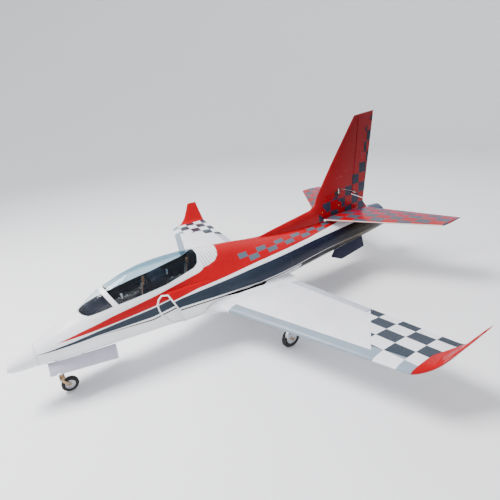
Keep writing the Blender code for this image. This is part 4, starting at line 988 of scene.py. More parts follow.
def build_wing_underside(label, side):
    """Servo hatches with their arms and screws, under the wing."""
    for name, x in (("flap", 0.47), ("aileron", 0.70)):
        lead, trail, height, thickness = wing_station(x)
        s = 1.075 if name == "flap" else 1.125
        f = (s - lead) / (trail - lead)
        skin = height - thickness * airfoil_half(f) - 0.0004
        hatch = rounded(block(f"{name}_servo_hatch_{label}", (side * x - 0.022, s - 0.016, skin - 0.0006),
                              (side * x + 0.022, s + 0.016, skin + 0.004), "door"), 0.0005)
        settle(hatch, "airframe", "wing_white")
        arm = rounded(block("arm", (side * x - 0.0015, s - 0.002, skin - 0.011),
                            (side * x + 0.0015, s + 0.004, skin)), 0.0005)
        screws = [
            spun("screw", ((0.0, 0.0), (0.0, 0.0014), (0.0012, 0.0012), (0.0012, 0.0)),
                 point(side * x + a * 0.019, s + b * 0.013, skin - 0.0004), (0, 0, -1), steps=14)
            for a in (-1, 1) for b in (-1, 1)
        ]
        settle(merged(f"{name}_servo_arm_{label}", [arm], "nylon"), "airframe", "white_nylon")
        settle(merged(f"{name}_hatch_screws_{label}", screws, "steel"), "airframe", "steel")


def build_winglet(label, side):
    sections = (
        (WING_TIP + GAP, 0.2115, 1.0345, 1.2787, 0, 0.0275), (0.912, 0.2125, 1.056, 1.2805, 8, 0.0240),
        (0.928, 0.2175, 1.092, 1.2815, 30, 0.0190), (0.9405, 0.2300, 1.122, 1.2810, 50, 0.0140),
        (0.953, 0.2500, 1.146, 1.2790, 58, 0.0105), (0.975, 0.2880, 1.176, 1.2750, 60, 0.0080),
        (0.992, 0.3190, 1.197, 1.2720, 61, 0.0060), (1.0005, 0.3345, 1.208, 1.2705, 61, 0.0040),
    )
    travel = [0.0]
    for a, b in zip(sections, sections[1:]):
        travel.append(travel[-1] + math.hypot(b[0] - a[0], b[1] - a[1]))
    columns = [tuple(zip(travel, values)) for values in zip(*sections)]
    rings = []
    for distance in spaced(0.0, travel[-1], 34):
        x, height, lead, trail, tilt, thickness = (curve_value(column, distance) for column in columns)
        lean = math.radians(tilt)
        ring = []
        for f, sign in airfoil_ring(21):
            half = sign * (thickness * airfoil_half(f) + 0.0004)
            ring.append((side * (x - half * math.sin(lean)), at(lead + (trail - lead) * f),
                         height + half * math.cos(lean)))
        rings.append(ring)
    settle(loft(f"winglet_skin_{label}", rings, "wing"), "airframe", "red_paint", f"winglet_{label}")


# Tail

def stab_ring(x, side):
    share = (x - STAB_DATUM) / (STAB_TIP - STAB_DATUM)
    lead, trail = (line[0] + line[1] * share for line in (STAB_LEAD, STAB_TRAIL))
    thickness = 0.022 - 0.010 * share
    return [
        (side * x, at(lead + (trail - lead) * f),
         STAB_HEIGHT + STAB_RISE * share + sign * (thickness * airfoil_half(f) + 0.0004))
        for f, sign in airfoil_ring(25)
    ]


def elevator_station(x):
    return ELEVATOR_LINE[0] + ELEVATOR_LINE[1] * (x - STAB_DATUM)


def build_stab(label, side):
    rings = [stab_ring(x, side) for x in spaced(STAB_ROOT, STAB_TIP, 16)]
    stab = loft(f"tailplane_{label}", rings, "stab")
    bay = [(side * x, elevator_station(x) - HINGE_GAP) for x in (0.0345, 0.6)] + [(side * 0.6, 2.1),
            (side * 0.0345, 2.1)]
    boolean(stab, [plan_prism(bay, 0.3, 0.45), clearance_hull()])
    settle(stab, "airframe", "red_paint", f"stab_{label}")
    ends = [(side * x, elevator_station(x), STAB_HEIGHT + STAB_RISE * (x - STAB_DATUM) / 0.466)
            for x in (0.036, 0.504)]
    elevator = loft(f"elevator_panel_{label}", rings, "stab")
    boolean(elevator, [surface_nose(ends, 27)], "INTERSECT")
    settle(elevator, f"elevator_{label}", "red_paint", f"elevator_{label}")
    recess = spun(f"stab_screw_cup_{label}",
                  ((0.0, 0.0), (0.0, 0.0030), (0.0007, 0.0030), (0.0007, 0.0022), (0.0002, 0.0018)),
                  point(side * 0.472, 1.866, 0.3795), (0, 0, 1), "brass", 24)
    settle(recess, "airframe", "steel")
    boss = spun(f"stab_root_fitting_{label}",
                ((0.0, 0.0), (0.0, 0.0065), (0.0030, 0.0060), (0.0042, 0.0040), (0.0044, 0.0)),
                point(side * 0.0300, 1.532, 0.3700), (side, -0.6, 0.15), "nylon", 32)
    settle(boss, "airframe", "white_nylon")


def fin_ring(z, count=25, tip_rise=0.0):
    lead = curve_value(((FIN_FOOT, 1.440), (0.448, 1.476), (0.554, 1.540), (FIN_TOP, 1.769)), z)
    trail = 1.900 if z < 0.4 else 1.860 + (z - 0.4) * 0.118
    thickness = 0.032 - 0.022 * (z - FIN_FOOT) / (FIN_TOP - FIN_FOOT)
    return [
        (sign * (thickness * airfoil_half(f) + 0.0006), at(lead + (trail - lead) * f), z + tip_rise * f)
        for f, sign in airfoil_ring(count)
    ]


def rudder_station(z):
    return RUDDER_LINE[0] + RUDDER_LINE[1] * (z - RUDDER_DATUM)


def build_fin():
    heights = (FIN_FOOT, 0.40, 0.424, 0.448, 0.50, 0.554, 0.60, 0.65, 0.70, 0.75, 0.80, 0.84)
    rings = [fin_ring(z) for z in heights] + [fin_ring(FIN_TOP, tip_rise=0.014)]
    fin = loft("fin_skin", rings, "fin")
    strake = []
    for s, half, crest in ((1.120, 0.004, 0.385), (1.223, 0.010, 0.402), (1.330, 0.013, 0.418),
                           (1.456, 0.014, 0.437), (1.500, 0.013, 0.470), (1.560, 0.008, 0.500)):
        base = curve_value(TOP_LINE, s) - 0.012
        strake.append([
            (half * 1.5 * math.cos(a) if a else half * 1.5, at(s),
             base + (crest - base) * math.sin(a) ** 0.75)
            for a in spaced(0.0, math.pi, 17)
        ])
    boolean(fin, [loft("strake", strake)], "UNION")
    start, end, high = rudder_station(RUDDER_FOOT) - HINGE_GAP, 2.0, 0.95
    bay = [(start, RUDDER_FOOT), (rudder_station(high) - HINGE_GAP, high), (end, high),
           (end, RUDDER_FOOT - RUDDER_RAKE * (end - start))]
    cups = [spun("cup", ((-0.003, 0.0), (-0.003, 0.0052), (0.02, 0.0052), (0.02, 0.0)),
                 point(side * 0.0115, s, z), (side, 0, 0), steps=32)
            for _, side in SIDES for s, z in FIN_SCREWS]
    trims = [block("trim", (side * (STAB_ROOT - GAP), 1.4, 0.3), (side * 0.1, 2.0, 0.42)) for _,
             side in SIDES]
    boolean(fin, [side_prism(bay), clearance_hull(),
                  block("pocket", (0.0010, 1.6205, 0.4805), (0.05, 1.6615, 0.5045))]
            + trims + cups)
    settle(fin, "airframe", "red_paint", "fin")
    for label, side in SIDES:
        for i, (s, z) in enumerate(FIN_SCREWS):
            half = 0.0092 if i else 0.0096
            head = ((0.0, 0.0), (0.0, 0.0050), (0.0016, 0.0047), (0.0024, 0.0036), (0.0010, 0.0020),
                    (0.0010, 0.0))
            screw = spun(f"fin_screw_{label}_{i}", head, point(side * half, s, z), (side, 0, 0), "brass", 24)
            settle(screw, "airframe", "steel")
    rudder = loft("rudder_panel", rings, "fin")
    depth, rear = 0.05, 0.25
    back = depth * math.tan(math.radians(27))
    wedge = []
    for z, rake in ((RUDDER_FOOT + 0.0025, RUDDER_RAKE), (high, 0.0)):
        hinge = at(rudder_station(z))
        wedge.append([
            (0, hinge, z), (depth, hinge + back, z - rake * back), (depth, hinge + rear, z - rake * rear),
            (-depth, hinge + rear, z - rake * rear), (-depth, hinge + back, z - rake * back),
        ])
    boolean(rudder, [loft("wedge", wedge)], "INTERSECT")
    settle(rudder, "rudder", "red_paint", "rudder")
    for i, z in enumerate((0.52, 0.64, 0.76)):
        s = rudder_station(z) - 0.0006
        settle(tube(f"rudder_hinge_{i}", [point(0, s, z - 0.009), point(0, s + 0.0018, z + 0.009)], 0.0009,
                    "steel", 8),
               "rudder", "steel")
    build_rudder_linkage()


def build_rudder_linkage():
    """Ball links, servo splines and lugs round the rudder's pushrod."""
    ends = (point(0.0202, 1.646, 0.5165), point(0.0300, 1.757, 0.4805))
    along = (ends[1] - ends[0]).normalized()
    for i, (end, sign) in enumerate(zip(ends, (1, -1))):
        sleeve = tube("sleeve", [end + along * sign * 0.004, end + along * sign * 0.017], 0.0021, None, 12)
        eye = spun("eye", ((-0.0016, 0.0), (-0.0016, 0.0030), (0.0, 0.0036), (0.0016, 0.0030), (0.0016, 0.0)),
                   end, (1, 0, 0) if i == 0 else (0, 0, 1), None, 24)
        settle(merged(f"ball_link_{i}", [sleeve, eye], "carbon"), "pushrod", "carbon")
    spline = spun("servo_spline", ((0.0, 0.0), (0.0, 0.0028), (0.0018, 0.0026), (0.0018, 0.0)),
                  point(0.0184, 1.646, 0.4925), (1, 0, 0), "brass", 18)
    settle(spline, "servo_arm", "steel")
    lugs = [rounded(block("lug", (0.0106, s - 0.004, 0.488), (0.0126, s + 0.004, 0.497)), 0.0004)
            for s in (1.6175, 1.6645)]
    settle(merged("servo_lugs", lugs, "carbon"), "airframe", "carbon")


def build_ventral_fin(label, side):
    outline = ((1.592, 0.215), (1.797, 0.230), (1.799, 0.159), (1.796, 0.1559), (1.788, 0.1548),
               (1.620, 0.1356),
               (1.610, 0.1352), (1.604, 0.1377), (1.545, 0.1635), (1.542, 0.1660), (1.543, 0.1690))
    lean = math.tan(math.radians(16))
    faces = [[(side * (0.060 + (0.200 - z) * lean + offset), at(s), z) for s, z in outline]
             for offset in (-0.0022, 0.0022)]
    plate = rounded(loft(f"ventral_plate_{label}", faces, "navy"), 0.0014, 3)
    boolean(plate, [clearance_hull()])
    settle(plate, "airframe", "navy_paint", f"ventral_fin_{label}")


# Cockpit

def rim(station):
    return curve_value(((0.386, 0.070), (0.60, 0.080), (0.772, 0.080)), station)


def floor_at(station):
    return curve_value(((0.386, 0.262), (0.60, 0.272), (0.772, 0.292)), station)


def dial(name, x, station, z, radius, tilt):
    """Instrument with a bezel, a dark face, ticks and a needle."""
    facing = Vector((0, math.cos(tilt), math.sin(tilt)))
    centre = point(x, station, z)
    bezel = spun("bezel", ((0.0, radius * 0.8), (0.0, radius), (0.0010, radius * 0.98),
                           (0.0012, radius * 0.86), (0.0004, radius * 0.8)),
                 centre, facing, None, 28, True)
    settle(merged(f"{name}_bezel", [bezel], "panel"), "airframe", "cockpit_black")
    settle(spun(f"{name}_face", ((0.0, 0.0), (0.0, radius * 0.84), (0.0005, radius * 0.82), (0.0005, 0.0)),
                centre, facing,
                "screen", 28), "airframe", "cockpit_black")
    upward = facing.cross(Vector((1, 0, 0)))
    marks = []
    for i in range(10):
        a = math.tau * (i + 1.5) / 13
        d = Vector((math.sin(a), 0, 0)) + upward * math.cos(a)
        marks.append(tube("tick", [centre + facing * 0.0007 + d * radius * r for r in (0.60, 0.76)], 0.00016,
                          None, 4))
    d = Vector((0.5, 0, 0)) + upward * 0.8
    marks.append(tube("needle",
                      [centre + facing * 0.0007 - d * radius * 0.1,
                       centre + facing * 0.0007 + d * radius * 0.6],
                      0.0002, None, 4))
    settle(merged(f"{name}_marks", marks, "dial"), "airframe", "cockpit_black")


def build_instruments():
    for label, station, top, half, tilt in (("front", 0.3895, 0.350, 0.058, 0.10),
                                            ("rear", 0.6262, 0.377, 0.039, 0.12)):
        lower = 0.314 if label == "front" else 0.357
        board = rounded(block(f"instrument_board_{label}", (-half, station - 0.001, lower),
                              (half, station + 0.0015, top - 0.004),
                              "panel"), 0.001)
        settle(board, "airframe", "cockpit_black")
        middle, size = (lower + top) / 2, (0.0085 if label == "front" else 0.0060)
        for i, x in enumerate((-1.75, -0.6, 0.6, 1.75)):
            dial(f"dial_{label}_{i}", x * size * 1.35, station + 0.0017, middle,
                 size * (1.0 if i in (1, 2) else 0.78), tilt)
        lamps = [spun("lamp", ((0.0, 0.0), (0.0, 0.0010), (0.0008, 0.0008), (0.001, 0.0)),
                      point(i * 0.0048, station + 0.0015, top - 0.0075), (0, 1, 0), None, 10)
                      for i in range(-4, 5)]
        settle(merged(f"warning_lamps_{label}", lamps, "red"), "airframe", "cockpit_black")


def build_consoles():
    for label, side in SIDES:
        for place, start, end in (("front", 0.425, 0.545), ("rear", 0.632, 0.752)):
            low = floor_at(start)
            edge = min(rim(start), rim(end)) - 0.005
            body = rounded(block(f"console_{place}_{label}", (side * 0.041, start, low + 0.003),
                                 (side * (edge - 0.006), end, low + 0.026),
                                 "panel"), 0.0016)
            settle(body, "airframe", "cockpit_black")
            knobs, keys = [], []
            for i in range(6):
                s, x = start + 0.014 + i * 0.018, side * (0.047 + 0.007 * (i % 2))
                knobs.append(spun("knob",
                                  ((0.0, 0.0), (0.0, 0.0026), (0.0020, 0.0022), (0.0036, 0.0020),
                                   (0.0040, 0.0014), (0.0040, 0.0)),
                                  point(x, s, low + 0.026), (0, 0, 1), None, 16))
                keys.append(rounded(block("key", (x + side * 0.008, s - 0.003, low + 0.0255),
                                          (x + side * 0.0125, s + 0.003, low + 0.0272)), 0.0004))
            settle(merged(f"console_knobs_{place}_{label}", knobs, "black"), "airframe", "cockpit_black")
            settle(merged(f"console_keys_{place}_{label}", keys, "dial"), "airframe", "cockpit_black")
        lever = tube("lever", [point(side * 0.050, 0.455, 0.287), point(side * 0.050, 0.449, 0.305)], 0.0016,
                     None, 10)
        knob = spun("knob", ((-0.004, 0.0), (-0.004, 0.003), (0.0, 0.0036), (0.004, 0.003), (0.004, 0.0)),
                    point(side * 0.050, 0.449, 0.306), (1, 0, 0), None, 20)
        settle(merged(f"throttle_{label}", [lever, knob], "nylon"), "airframe", "white_nylon")


def cushion(name, rings, look, puff, frames=20):
    """Closed pad whose cloth cover is blown out by its filling."""
    made = rounded(loft(name, rings, look), 0.0035, 3)
    step = made.modifiers.new("even", "REMESH")
    step.mode = "VOXEL"
    step.voxel_size = 0.0021
    applied(made)
    rest = [vertex.co.copy() for vertex in made.data.vertices]
    cloth = made.modifiers.new("cover", "CLOTH")
    settings = cloth.settings
    settings.quality = 6
    settings.mass = 0.2
    settings.tension_stiffness = settings.compression_stiffness = 18
    settings.shear_stiffness, settings.bending_stiffness = 6, 0.6
    settings.use_pressure = True
    settings.uniform_pressure_force = puff
    settings.effector_weights.gravity = 0.0
    cloth.point_cache.frame_start, cloth.point_cache.frame_end = 1, frames
    for frame_number in range(1, frames + 1):
        bpy.context.scene.frame_set(frame_number)
    bpy.context.view_layer.update()
    evaluated = made.evaluated_get(bpy.context.evaluated_depsgraph_get())
    moved = bpy.data.meshes.new_from_object(evaluated)
    for vertex, start in zip(moved.vertices, rest):
        shift = vertex.co - start
        vertex.co = start + shift * min(1.0, 0.0028 / max(shift.length, 1e-9))
    made.modifiers.clear()
    made.data = moved
    bpy.context.scene.frame_set(1)
    smooth = made.modifiers.new("smooth", "SMOOTH")
    smooth.factor, smooth.iterations = 0.5, 3
    finer = made.modifiers.new("finer", "SUBSURF")
    finer.levels = 1
    return applied(made, 60)


def slab(station, rise, half, depth, corner=0.35):
    """Cushion outline across the seat at one height."""
    return [(-half, at(station), rise), (half, at(station), rise),
            (half * (1 - corner * 0.2), at(station + depth), rise),
            (-half * (1 - corner * 0.2), at(station + depth), rise)]


def build_seat(label, station, floor, height):
    """Ejection-style seat: tan back and pan pads between black bolsters, on a black shell with straps."""
    back = cushion(f"seat_back_{label}", [
        slab(station - 0.0075 + aft, floor + rise, half, 0.0085)
        for rise, aft, half in ((0.017, 0.001, 0.0165), (0.045, 0.004, 0.0180),
                                (height - 0.034, 0.010, 0.0170))
    ], "leather", 2.2)
    head = cushion(f"seat_head_{label}", [
        slab(station + 0.0035 + aft, floor + height + rise, half, 0.0095)
        for rise, aft, half in ((-0.026, 0.000, 0.0135), (-0.004, 0.0015, 0.0105))
    ], "leather", 1.8)
    pan = cushion(f"seat_pan_{label}", [
        [(-half, at(station - 0.043), floor + z), (half, at(station - 0.043), floor + z),
         (half, at(station - 0.008), floor + z + 0.001), (-half, at(station - 0.008), floor + z + 0.001)]
        for z, half in ((0.0085, 0.0195), (0.0150, 0.0185))
    ], "leather", 2.0)
    for pad in (back, head, pan):
        settle(pad, "airframe", "tan_leather")
    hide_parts(f"seat_{label}")
    shell = [
        rounded(block("base", (-0.0265, station - 0.045, floor), (0.0265, station + 0.005, floor + 0.0095)),
                0.0015),
        rounded(loft("board", [
            [(-half, at(station + aft), floor + z), (half, at(station + aft), floor + z),
             (half, at(station + aft + 0.006), floor + z), (-half, at(station + aft + 0.006), floor + z)]
            for z, aft, half in ((0.004, 0.0015, 0.0260), (0.05, 0.0050, 0.0265),
                                 (height - 0.026, 0.0105, 0.0240),
                                 (height - 0.002, 0.0135, 0.0150))
        ]), 0.0012),
    ]
    settle(merged(f"seat_shell_{label}", shell, "black"), "airframe", "cockpit_black")
    for name, side in SIDES:
        bolster = cushion(f"seat_bolster_{label}_{name}", [
            [(side * (0.0185 - drop), at(station - 0.0110 + aft), floor + z),
             (side * (0.0262 - drop), at(station - 0.0120 + aft), floor + z),
             (side * (0.0262 - drop), at(station + 0.0030 + aft), floor + z),
             (side * (0.0185 - drop), at(station + 0.0020 + aft), floor + z)]
            for z, aft, drop in ((0.017, 0.001, 0.0), (0.05, 0.004, 0.0), (height - 0.030, 0.010, 0.0025))
        ], "black", 1.5)
        settle(bolster, "airframe", "cockpit_black")
        strap = []
        for t in spaced(0.0, 1.0, 9):
            z = floor + height - 0.030 - t * (height - 0.054)
            aft = 0.010 - 0.009 * t
            x = side * (0.0060 + 0.0045 * t)
            strap.append([(x - 0.0022, at(station - 0.0118 + aft), z),
                          (x + 0.0022, at(station - 0.0118 + aft), z),
                          (x + 0.0022, at(station - 0.0108 + aft), z),
                          (x - 0.0022, at(station - 0.0108 + aft), z)])
        settle(loft(f"harness_{label}_{name}", strap, "webbing"), "airframe", "tan_leather")
        settle(rounded(block(f"buckle_{label}_{name}", (side * 0.0050, station - 0.0105, floor + 0.052),
                             (side * 0.0110, station - 0.0075, floor + 0.058), "chrome"), 0.0006), "airframe",
                             "steel")
    handle = tube(f"pull_handle_{label}", [point(x, station - 0.0455 - 0.001, floor + z) for x, z in
                                           ((-0.006, 0.013), (-0.006, 0.020), (-0.003, 0.023), (0.003, 0.023),
                                            (0.006, 0.020), (0.006, 0.013))],
                  0.0009, "red", 8)
    settle(handle, "airframe", "red_paint")


def build_stick(label, station, floor, top):
    shaft = spun(f"stick_shaft_{label}",
                 ((0.0, 0.0), (0.0, 0.0018), (top - floor - 0.018, 0.0016), (top - floor - 0.018, 0.0)),
                 point(0, station, floor), (0, 0, 1), "chrome", 20)
    settle(shaft, "airframe", "alloy", f"stick_{label}")
    grip = spun(f"stick_grip_{label}",
                ((0.0, 0.0), (0.0, 0.0022), (0.003, 0.0036), (0.007, 0.0031), (0.011, 0.0038),
                 (0.015, 0.0034),
                                        (0.019, 0.0046), (0.0215, 0.0040), (0.0222, 0.0)),
                                        point(0, station, top - 0.0225), (0, 0, 1), "lip", 24)
    settle(grip, "airframe", "alloy")
    folds = [(0.0, 0.0)]
    for i in range(6):
        folds += [(i * 0.0016, 0.0110 - i * 0.0012), (i * 0.0016 + 0.0008, 0.0092 - i * 0.0012)]
    settle(spun(f"stick_boot_{label}", folds + [(0.0100, 0.0020), (0.0100, 0.0)], point(0, station, floor),
                (0, 0, 1), "black", 28),
           "airframe", "cockpit_black")
    trigger = tube(f"stick_trigger_{label}",
                   [point(0, station - 0.0034, top - 0.008), point(0, station - 0.0052, top - 0.011)], 0.0008,
                   "black", 8)
    settle(trigger, "airframe", "cockpit_black")


# Undercarriage

def bolt(place, direction, radius=0.0022, height=0.0014):
    """Cap screw with a chamfer and a socket."""
    return spun("bolt", ((0.0, radius), (height * 0.8, radius), (height, radius * 0.85),
                         (height, radius * 0.5),
                         (height * 0.45, radius * 0.45), (height * 0.45, 0.0)), place, direction, None, 18)


def build_tyre(name, centre, radius, half, rim_radius, body, node):
    profile = [(-half * 0.60, rim_radius)]
    for i in range(9):
        a = math.pi * (0.96 - 0.42 * i / 8)
        profile.append((half * math.cos(a), radius - 0.0062 + 0.0062 * math.sin(a) - 0.0012 * (1 - i / 8)))
    for x in (-0.42, -0.14, 0.14, 0.42):
        profile += [(half * (x - 0.045), radius - 0.0001), (half * (x - 0.03), radius - 0.0011),
                    (half * (x + 0.03), radius - 0.0011), (half * (x + 0.045), radius - 0.0001)]
    left = [(-a, r) for a, r in profile[:10]][::-1]
    settle(spun(name, profile + left, centre, (1, 0, 0), "tyre", 96, True), body, "tyre_rubber", node)


def build_hub(name, centre, rim_radius, half, body, node):
    """Machined wheel: flanged rim, a web with six lightening holes, bearing and axle nut."""
    edge = rim_radius - 0.0003
    flange = spun("flange", ((-half * 0.80, edge), (-half * 0.80, edge - 0.0016),
                             (-half * 0.30, edge - 0.0034), (half * 0.30, edge - 0.0034),
                             (half * 0.80, edge - 0.0016), (half * 0.80, edge)), centre, (1, 0, 0), "alloy",
                             72, True)
    disc = spun("disc", ((-half * 0.30, 0.0033), (-half * 0.30, edge - 0.0030), (half * 0.30, edge - 0.0030),
                         (half * 0.30, 0.0033)),
                centre, (1, 0, 0), "alloy", 72, True)
    holes = []
    for i in range(WHEEL_HOLES):
        a = math.tau * i / WHEEL_HOLES
        reach = (edge + 0.006) / 2
        place = Vector(centre) + Vector((-0.03, reach * math.cos(a), reach * math.sin(a)))
        holes.append(spun("hole", rod_profile(edge * 0.17, 0.06), place, (1, 0, 0), None, 24))
    boolean(disc, holes)
    pieces = [flange, disc]
    for side in (1, -1):
        pieces.append(spun("boss",
                           ((0.0, 0.0034), (0.0, 0.0075), (side * 0.0035, 0.0070), (side * 0.0046, 0.0060),
                            (side * 0.0046, 0.0034)),
                           Vector(centre) + Vector((side * half * 0.28, 0, 0)), (1, 0, 0), None, 40, True))
        for i in range(WHEEL_HOLES):
            a = math.tau * (i + 0.5) / WHEEL_HOLES
            place = Vector(centre) + Vector((side * half * 0.30, edge * 0.55 * math.cos(a),
                                             edge * 0.55 * math.sin(a)))
            pieces.append(bolt(place, (side, 0, 0), 0.0013, 0.0010))
    settle(merged(name, pieces, "alloy"), body, "alloy", node)


def coil(name, start, end, radius, wire, turns, look):
    """Spring wound between two points."""
    axis = end - start
    up = axis.normalized()
    first = up.orthogonal().normalized()
    second = up.cross(first)
    count = turns * COIL_STEPS
    route = []
    for i in range(count + 1):
        angle = math.tau * i / COIL_STEPS
        across = first * math.cos(angle) + second * math.sin(angle)
        route.append(start + axis * (i / count) + across * radius)
    return tube(name, route, wire, look, 8)


def build_nose_gear():
    settle(spun("nose_oleo_bands", sleeve_profile(0.0059, 0.0066, 0.0030), point(0, NOSE_LEG, 0.150),
                (0, 0, 1),
                "bronze", 40, True), "nose_leg", "bronze")
    settle(spun("nose_oleo_chrome", sleeve_profile(0.0058, 0.0060, 0.040), point(0, NOSE_LEG, 0.100),
                (0, 0, 1),
                "chrome", 40, True), "nose_leg", "steel")
    nuts = [bolt(point(side * 0.0160, 0.173, 0.032), (side, 0, 0), 0.0036, 0.0016) for side in (1, -1)]
    nuts += [bolt(point(side * 0.0158, 0.148, 0.071), (side, 0, 0), 0.0028, 0.0014) for side in (1, -1)]
    settle(merged("nose_arm_bolts", nuts, "steel"), "nose_arm", "steel")
    settle(coil("nose_spring", point(0, 0.1585, 0.0690), point(0, 0.1715, 0.0475), 0.0032, 0.0006, 7,
                "spring"), "nose_arm", "steel")
    steer = rounded(block("nose_steering_arm", (-0.016, 0.152, 0.0800), (0.016, 0.158, 0.0828), "bronze"),
                    0.0008)
    settle(steer, "nose_fork", "bronze")
    bolts = [bolt(point(x, t, 0.2064), (0, 0, -1), 0.0020, 0.0012) for x in (-0.014, 0.014)
             for t in (0.185, 0.25)]
    settle(merged("nose_retract_bolts", bolts, "steel"), "airframe", "steel")
    motor = spun("nose_retract_motor",
                 ((0.0, 0.0), (0.0, 0.0085), (0.0300, 0.0085), (0.0320, 0.0070), (0.0320, 0.0)),
                 point(0, 0.2625, 0.219), (0, 1, 0), "dark_metal", 32)
    settle(motor, "airframe", "retract_metal")
    centre = point(*NOSE_WHEEL)
    build_tyre("nose_tyre_skin", centre, NOSE_WHEEL[2], NOSE_HALF, NOSE_RIM, "nose_wheel", "nose_tyre")
    build_hub("nose_wheel_hub", centre, NOSE_RIM, NOSE_HALF, "nose_wheel", "nose_hub")


def build_main_gear(label, side):
    x, s = MAIN_LEG
    leg, arm, wheel = (f"main_{part}_{label}" for part in ("leg", "arm", "wheel"))
    settle(spun(f"main_oleo_chrome_{label}", sleeve_profile(0.0062, 0.0064, 0.045), point(side * x, s, 0.092),
                (0, 0, 1), "chrome", 40, True), leg, "steel")
    settle(spun(f"main_oleo_collar_{label}",
                ((0.0, 0.0062), (0.0, 0.0076), (0.0008, 0.0080), (0.0050, 0.0080), (0.0058, 0.0076),
                 (0.0058, 0.0062)),
                point(side * x, s, 0.137), (0, 0, 1), "bronze", 40, True), leg, "bronze")
    bolts = [bolt(point(side * face, s, 0.074), (side * out, 0, 0), 0.0030, 0.0012)
             for out, face in ((1, 0.3777), (-1, 0.3597))]
    bolts.append(bolt(point(side * 0.3706, *MAIN_WHEEL[1:]), (side, 0, 0), 0.0036, 0.0018))
    settle(merged(f"main_arm_bolts_{label}", bolts, "steel"), arm, "steel")
    settle(coil(f"main_spring_{label}", point(side * x, 0.9925, 0.0775), point(side * x, 1.0085, 0.0560),
                0.0034, 0.0007, 7, "spring"),
           arm, "steel")
    motor = spun(f"main_retract_motor_{label}",
                 ((0.0, 0.0), (0.0, 0.0080), (0.0008, 0.0085), (0.0020, 0.0085), (0.0020, 0.0)),
                 point(side * 0.4000, 0.9880, MAIN_BAY_ROOF), (0, 0, -1), "dark_metal", 32)
    settle(motor, "airframe", "retract_metal")
    screws = [bolt(point(side * across, along, MAIN_BAY_ROOF), (0, 0, -1), 0.0017, 0.0010)
              for across in (0.383, 0.418) for along in (0.967, 1.008)]
    settle(merged(f"main_retract_bolts_{label}", screws, "steel"), "airframe", "steel")
    centre = point(side * MAIN_WHEEL[0], *MAIN_WHEEL[1:])
    build_tyre(f"main_tyre_skin_{label}", centre, MAIN_WHEEL[2], MAIN_HALF, MAIN_RIM, wheel,
               f"main_tyre_{label}")
    build_hub(f"main_wheel_hub_{label}", centre, MAIN_RIM, MAIN_HALF, wheel, f"main_hub_{label}")


def build_nose_door(label, side):
    door = hull(f"nose_door_skin_{label}", stepped(0.10, 0.39, 0.010), "door", wall=0.0022)
    outline = [(side * 0.0006, 0.1258), (side * 0.0432, 0.1258), (side * 0.0552, 0.3672),
               (side * 0.0006, 0.3672)]
    boolean(door, [plan_prism(outline, 0.10, 0.205)], "INTERSECT")
    notch = spun("notch", rod_profile(LEG_NOTCH_RADIUS, 0.105), point(0, NOSE_LEG, 0.10), (0, 0, 1))
    boolean(door, [notch])
    first, last = (point(side * x, s, z) for x, s, z in DOOR_HINGE)
    turn = Matrix.Rotation(-side * DOOR_SWING, 4, last - first)
    door.data.transform(Matrix.Translation(first) @ turn @ Matrix.Translation(-first))
    body = f"nose_door_{label}"
    settle(door, body, "shell_white", body)
    for i, t in enumerate(HINGE_SHARES):
        place = first.lerp(last, t)
        along = (last - first).normalized() * 0.006
        settle(tube(f"door_hinge_{label}_{i}", [place - along, place + along], 0.0012, "steel", 10), body,
               "steel")


# Power

def build_power():
    pipe = ((-0.2675, 0.0448), (-0.2675, 0.0460), (0.2780, 0.0460), (0.2800, 0.0460), (0.2825, 0.0458),
            (0.2825, 0.0449), (0.2800, 0.0448))
    settle(spun("tail_pipe_skin", pipe, point(0, 1.7335, 0.272), (0, 1, 0), "thrust", 96, True), "airframe",
           "thrust_metal", "tail_pipe")
    cone = spun("exhaust_cone",
                ((0.0, 0.0), (0.0, 0.020), (0.020, 0.017), (0.045, 0.009), (0.055, 0.003), (0.056, 0.0)),
                point(0, 1.44, 0.262), (0, 1, 0), "thrust", 48)
    settle(cone, "airframe", "thrust_metal")
    vanes = []
    for i in range(12):
        a = math.tau * i / 12
        out = Vector((math.cos(a), 0, math.sin(a)))
        vanes.append(tube("vane",
                          [point(0, 1.447, 0.262) + out * 0.018, point(0, 1.447, 0.262) + out * 0.0335],
                          0.0012, None, 6))
    settle(merged("exhaust_vanes", vanes, "thrust"), "airframe", "thrust_metal")


CARRIED = {
    "black": ("cockpit_tub", "instrument_hood"),
    "dark_metal": ("main_retract_left", "main_retract_right", "nose_retract"),
    "carbon": ("rudder_servo", "receiver", "wing_tube", "stab_tube"),
    "steel": ("turbine_case", "rudder_pushrod"),
    "tank": ("fuel_tank",),
    "pack": ("battery",),
    "alloy": ("turbine_rotor", "nose_leg", "main_leg_left", "main_leg_right"),
    "nylon": ("rudder_horn", "rudder_servo_arm"),
    "bronze": ("nose_fork", "nose_arm", "main_arm_left", "main_arm_right"),
}


def dress_frame():
    """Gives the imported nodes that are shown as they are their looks."""
    for look, names in CARRIED.items():
        for name in names:
            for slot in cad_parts[name].material_slots:
                slot.material = LOOK[look]


# Studio

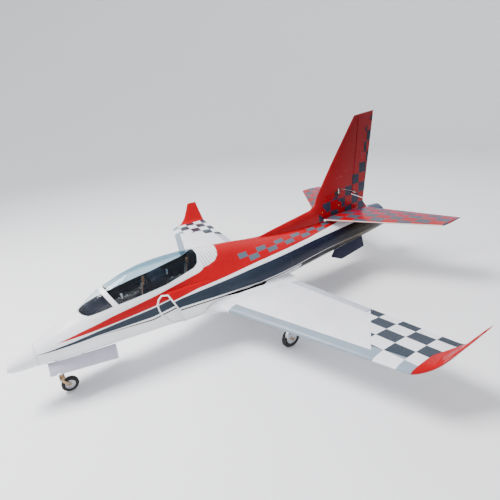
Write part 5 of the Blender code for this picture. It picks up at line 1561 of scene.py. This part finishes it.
def build_studio():
    floor_material = Shades("studio_floor", roughness=0.55, colour=(0.86, 0.865, 0.88)).material
    bowl = [(0.0, 0.0), (0.0, 5.0)]
    bowl += [(2.5 - 2.5 * math.cos(a), 5.0 + 2.5 * math.sin(a))
             for a in spaced(0.05, math.pi / 2, 18)] + [(7.0, 7.5)]
    floor = spun("studio_floor", bowl, (0, 0, -0.0006), (0, 0, 1), None, 96)
    floor.data.materials.append(floor_material)
    world = bpy.data.worlds.new("studio_air")
    bpy.context.scene.world = world
    world.use_nodes = True
    world.node_tree.nodes["Background"].inputs["Color"].default_value = (0.86, 0.88, 0.92, 1)
    world.node_tree.nodes["Background"].inputs["Strength"].default_value = 1.0
    for name, place, target, size, power in (
        ("key", (-0.7, -1.9, 3.5), (0, 0, 0.2), 1.5, 330), ("fill", (3.4, -1.8, 1.6), (0, 0, 0.3), 2.5, 35),
        ("rim", (-0.8, 3.0, 2.8), (0, 0, 0.3), 2.2, 22),
    ):
        data = bpy.data.lights.new(name, "AREA")
        data.size = size
        data.energy = power
        lamp = bpy.data.objects.new(name, data)
        lamp.location = place
        lamp.rotation_euler = (Vector(target) - Vector(place)).to_track_quat("-Z", "Y").to_euler()
        bpy.context.scene.collection.objects.link(lamp)


def build_camera():
    """The photo's view: from the aircraft's left front quarter and above, wide lens, slight roll."""
    azimuth, elevation, roll = (math.radians(turn) for turn in CAMERA_TURN.values())
    back = Vector((math.sin(azimuth) * math.cos(elevation), -math.cos(azimuth) * math.cos(elevation),
                   math.sin(elevation)))
    level = Vector((0, 0, 1)).cross(back).normalized()
    upright = back.cross(level)
    right = level * math.cos(roll) + upright * math.sin(roll)
    up = upright * math.cos(roll) - level * math.sin(roll)
    data = bpy.data.cameras.new("photo_view")
    data.lens, data.sensor_width = CAMERA_LENS, 36
    data.shift_x, data.shift_y = CAMERA_SHIFT
    data.clip_start, data.clip_end = 0.02, 60
    camera = bpy.data.objects.new("photo_view", data)
    camera.matrix_world = Matrix([(right[i], up[i], back[i], CAMERA_PLACE[i])
                                  for i in range(3)] + [(0, 0, 0, 1)])
    bpy.context.scene.collection.objects.link(camera)
    bpy.context.scene.camera = camera


build_fuselage()
build_canopy()
build_intakes()
for label, side in SIDES:
    build_wing(label, side)
    build_stab(label, side)
    build_ventral_fin(label, side)
    build_main_gear(label, side)
    build_nose_door(label, side)
build_fin()
build_instruments()
build_consoles()
build_seat("front", 0.530, 0.2725, 0.110)
build_seat("rear", 0.732, 0.2935, 0.108)
build_stick("front", 0.442, 0.2690, 0.336)
build_stick("rear", 0.643, 0.2840, 0.375)
build_nose_gear()
build_power()
dress_frame()
build_studio()
build_camera()
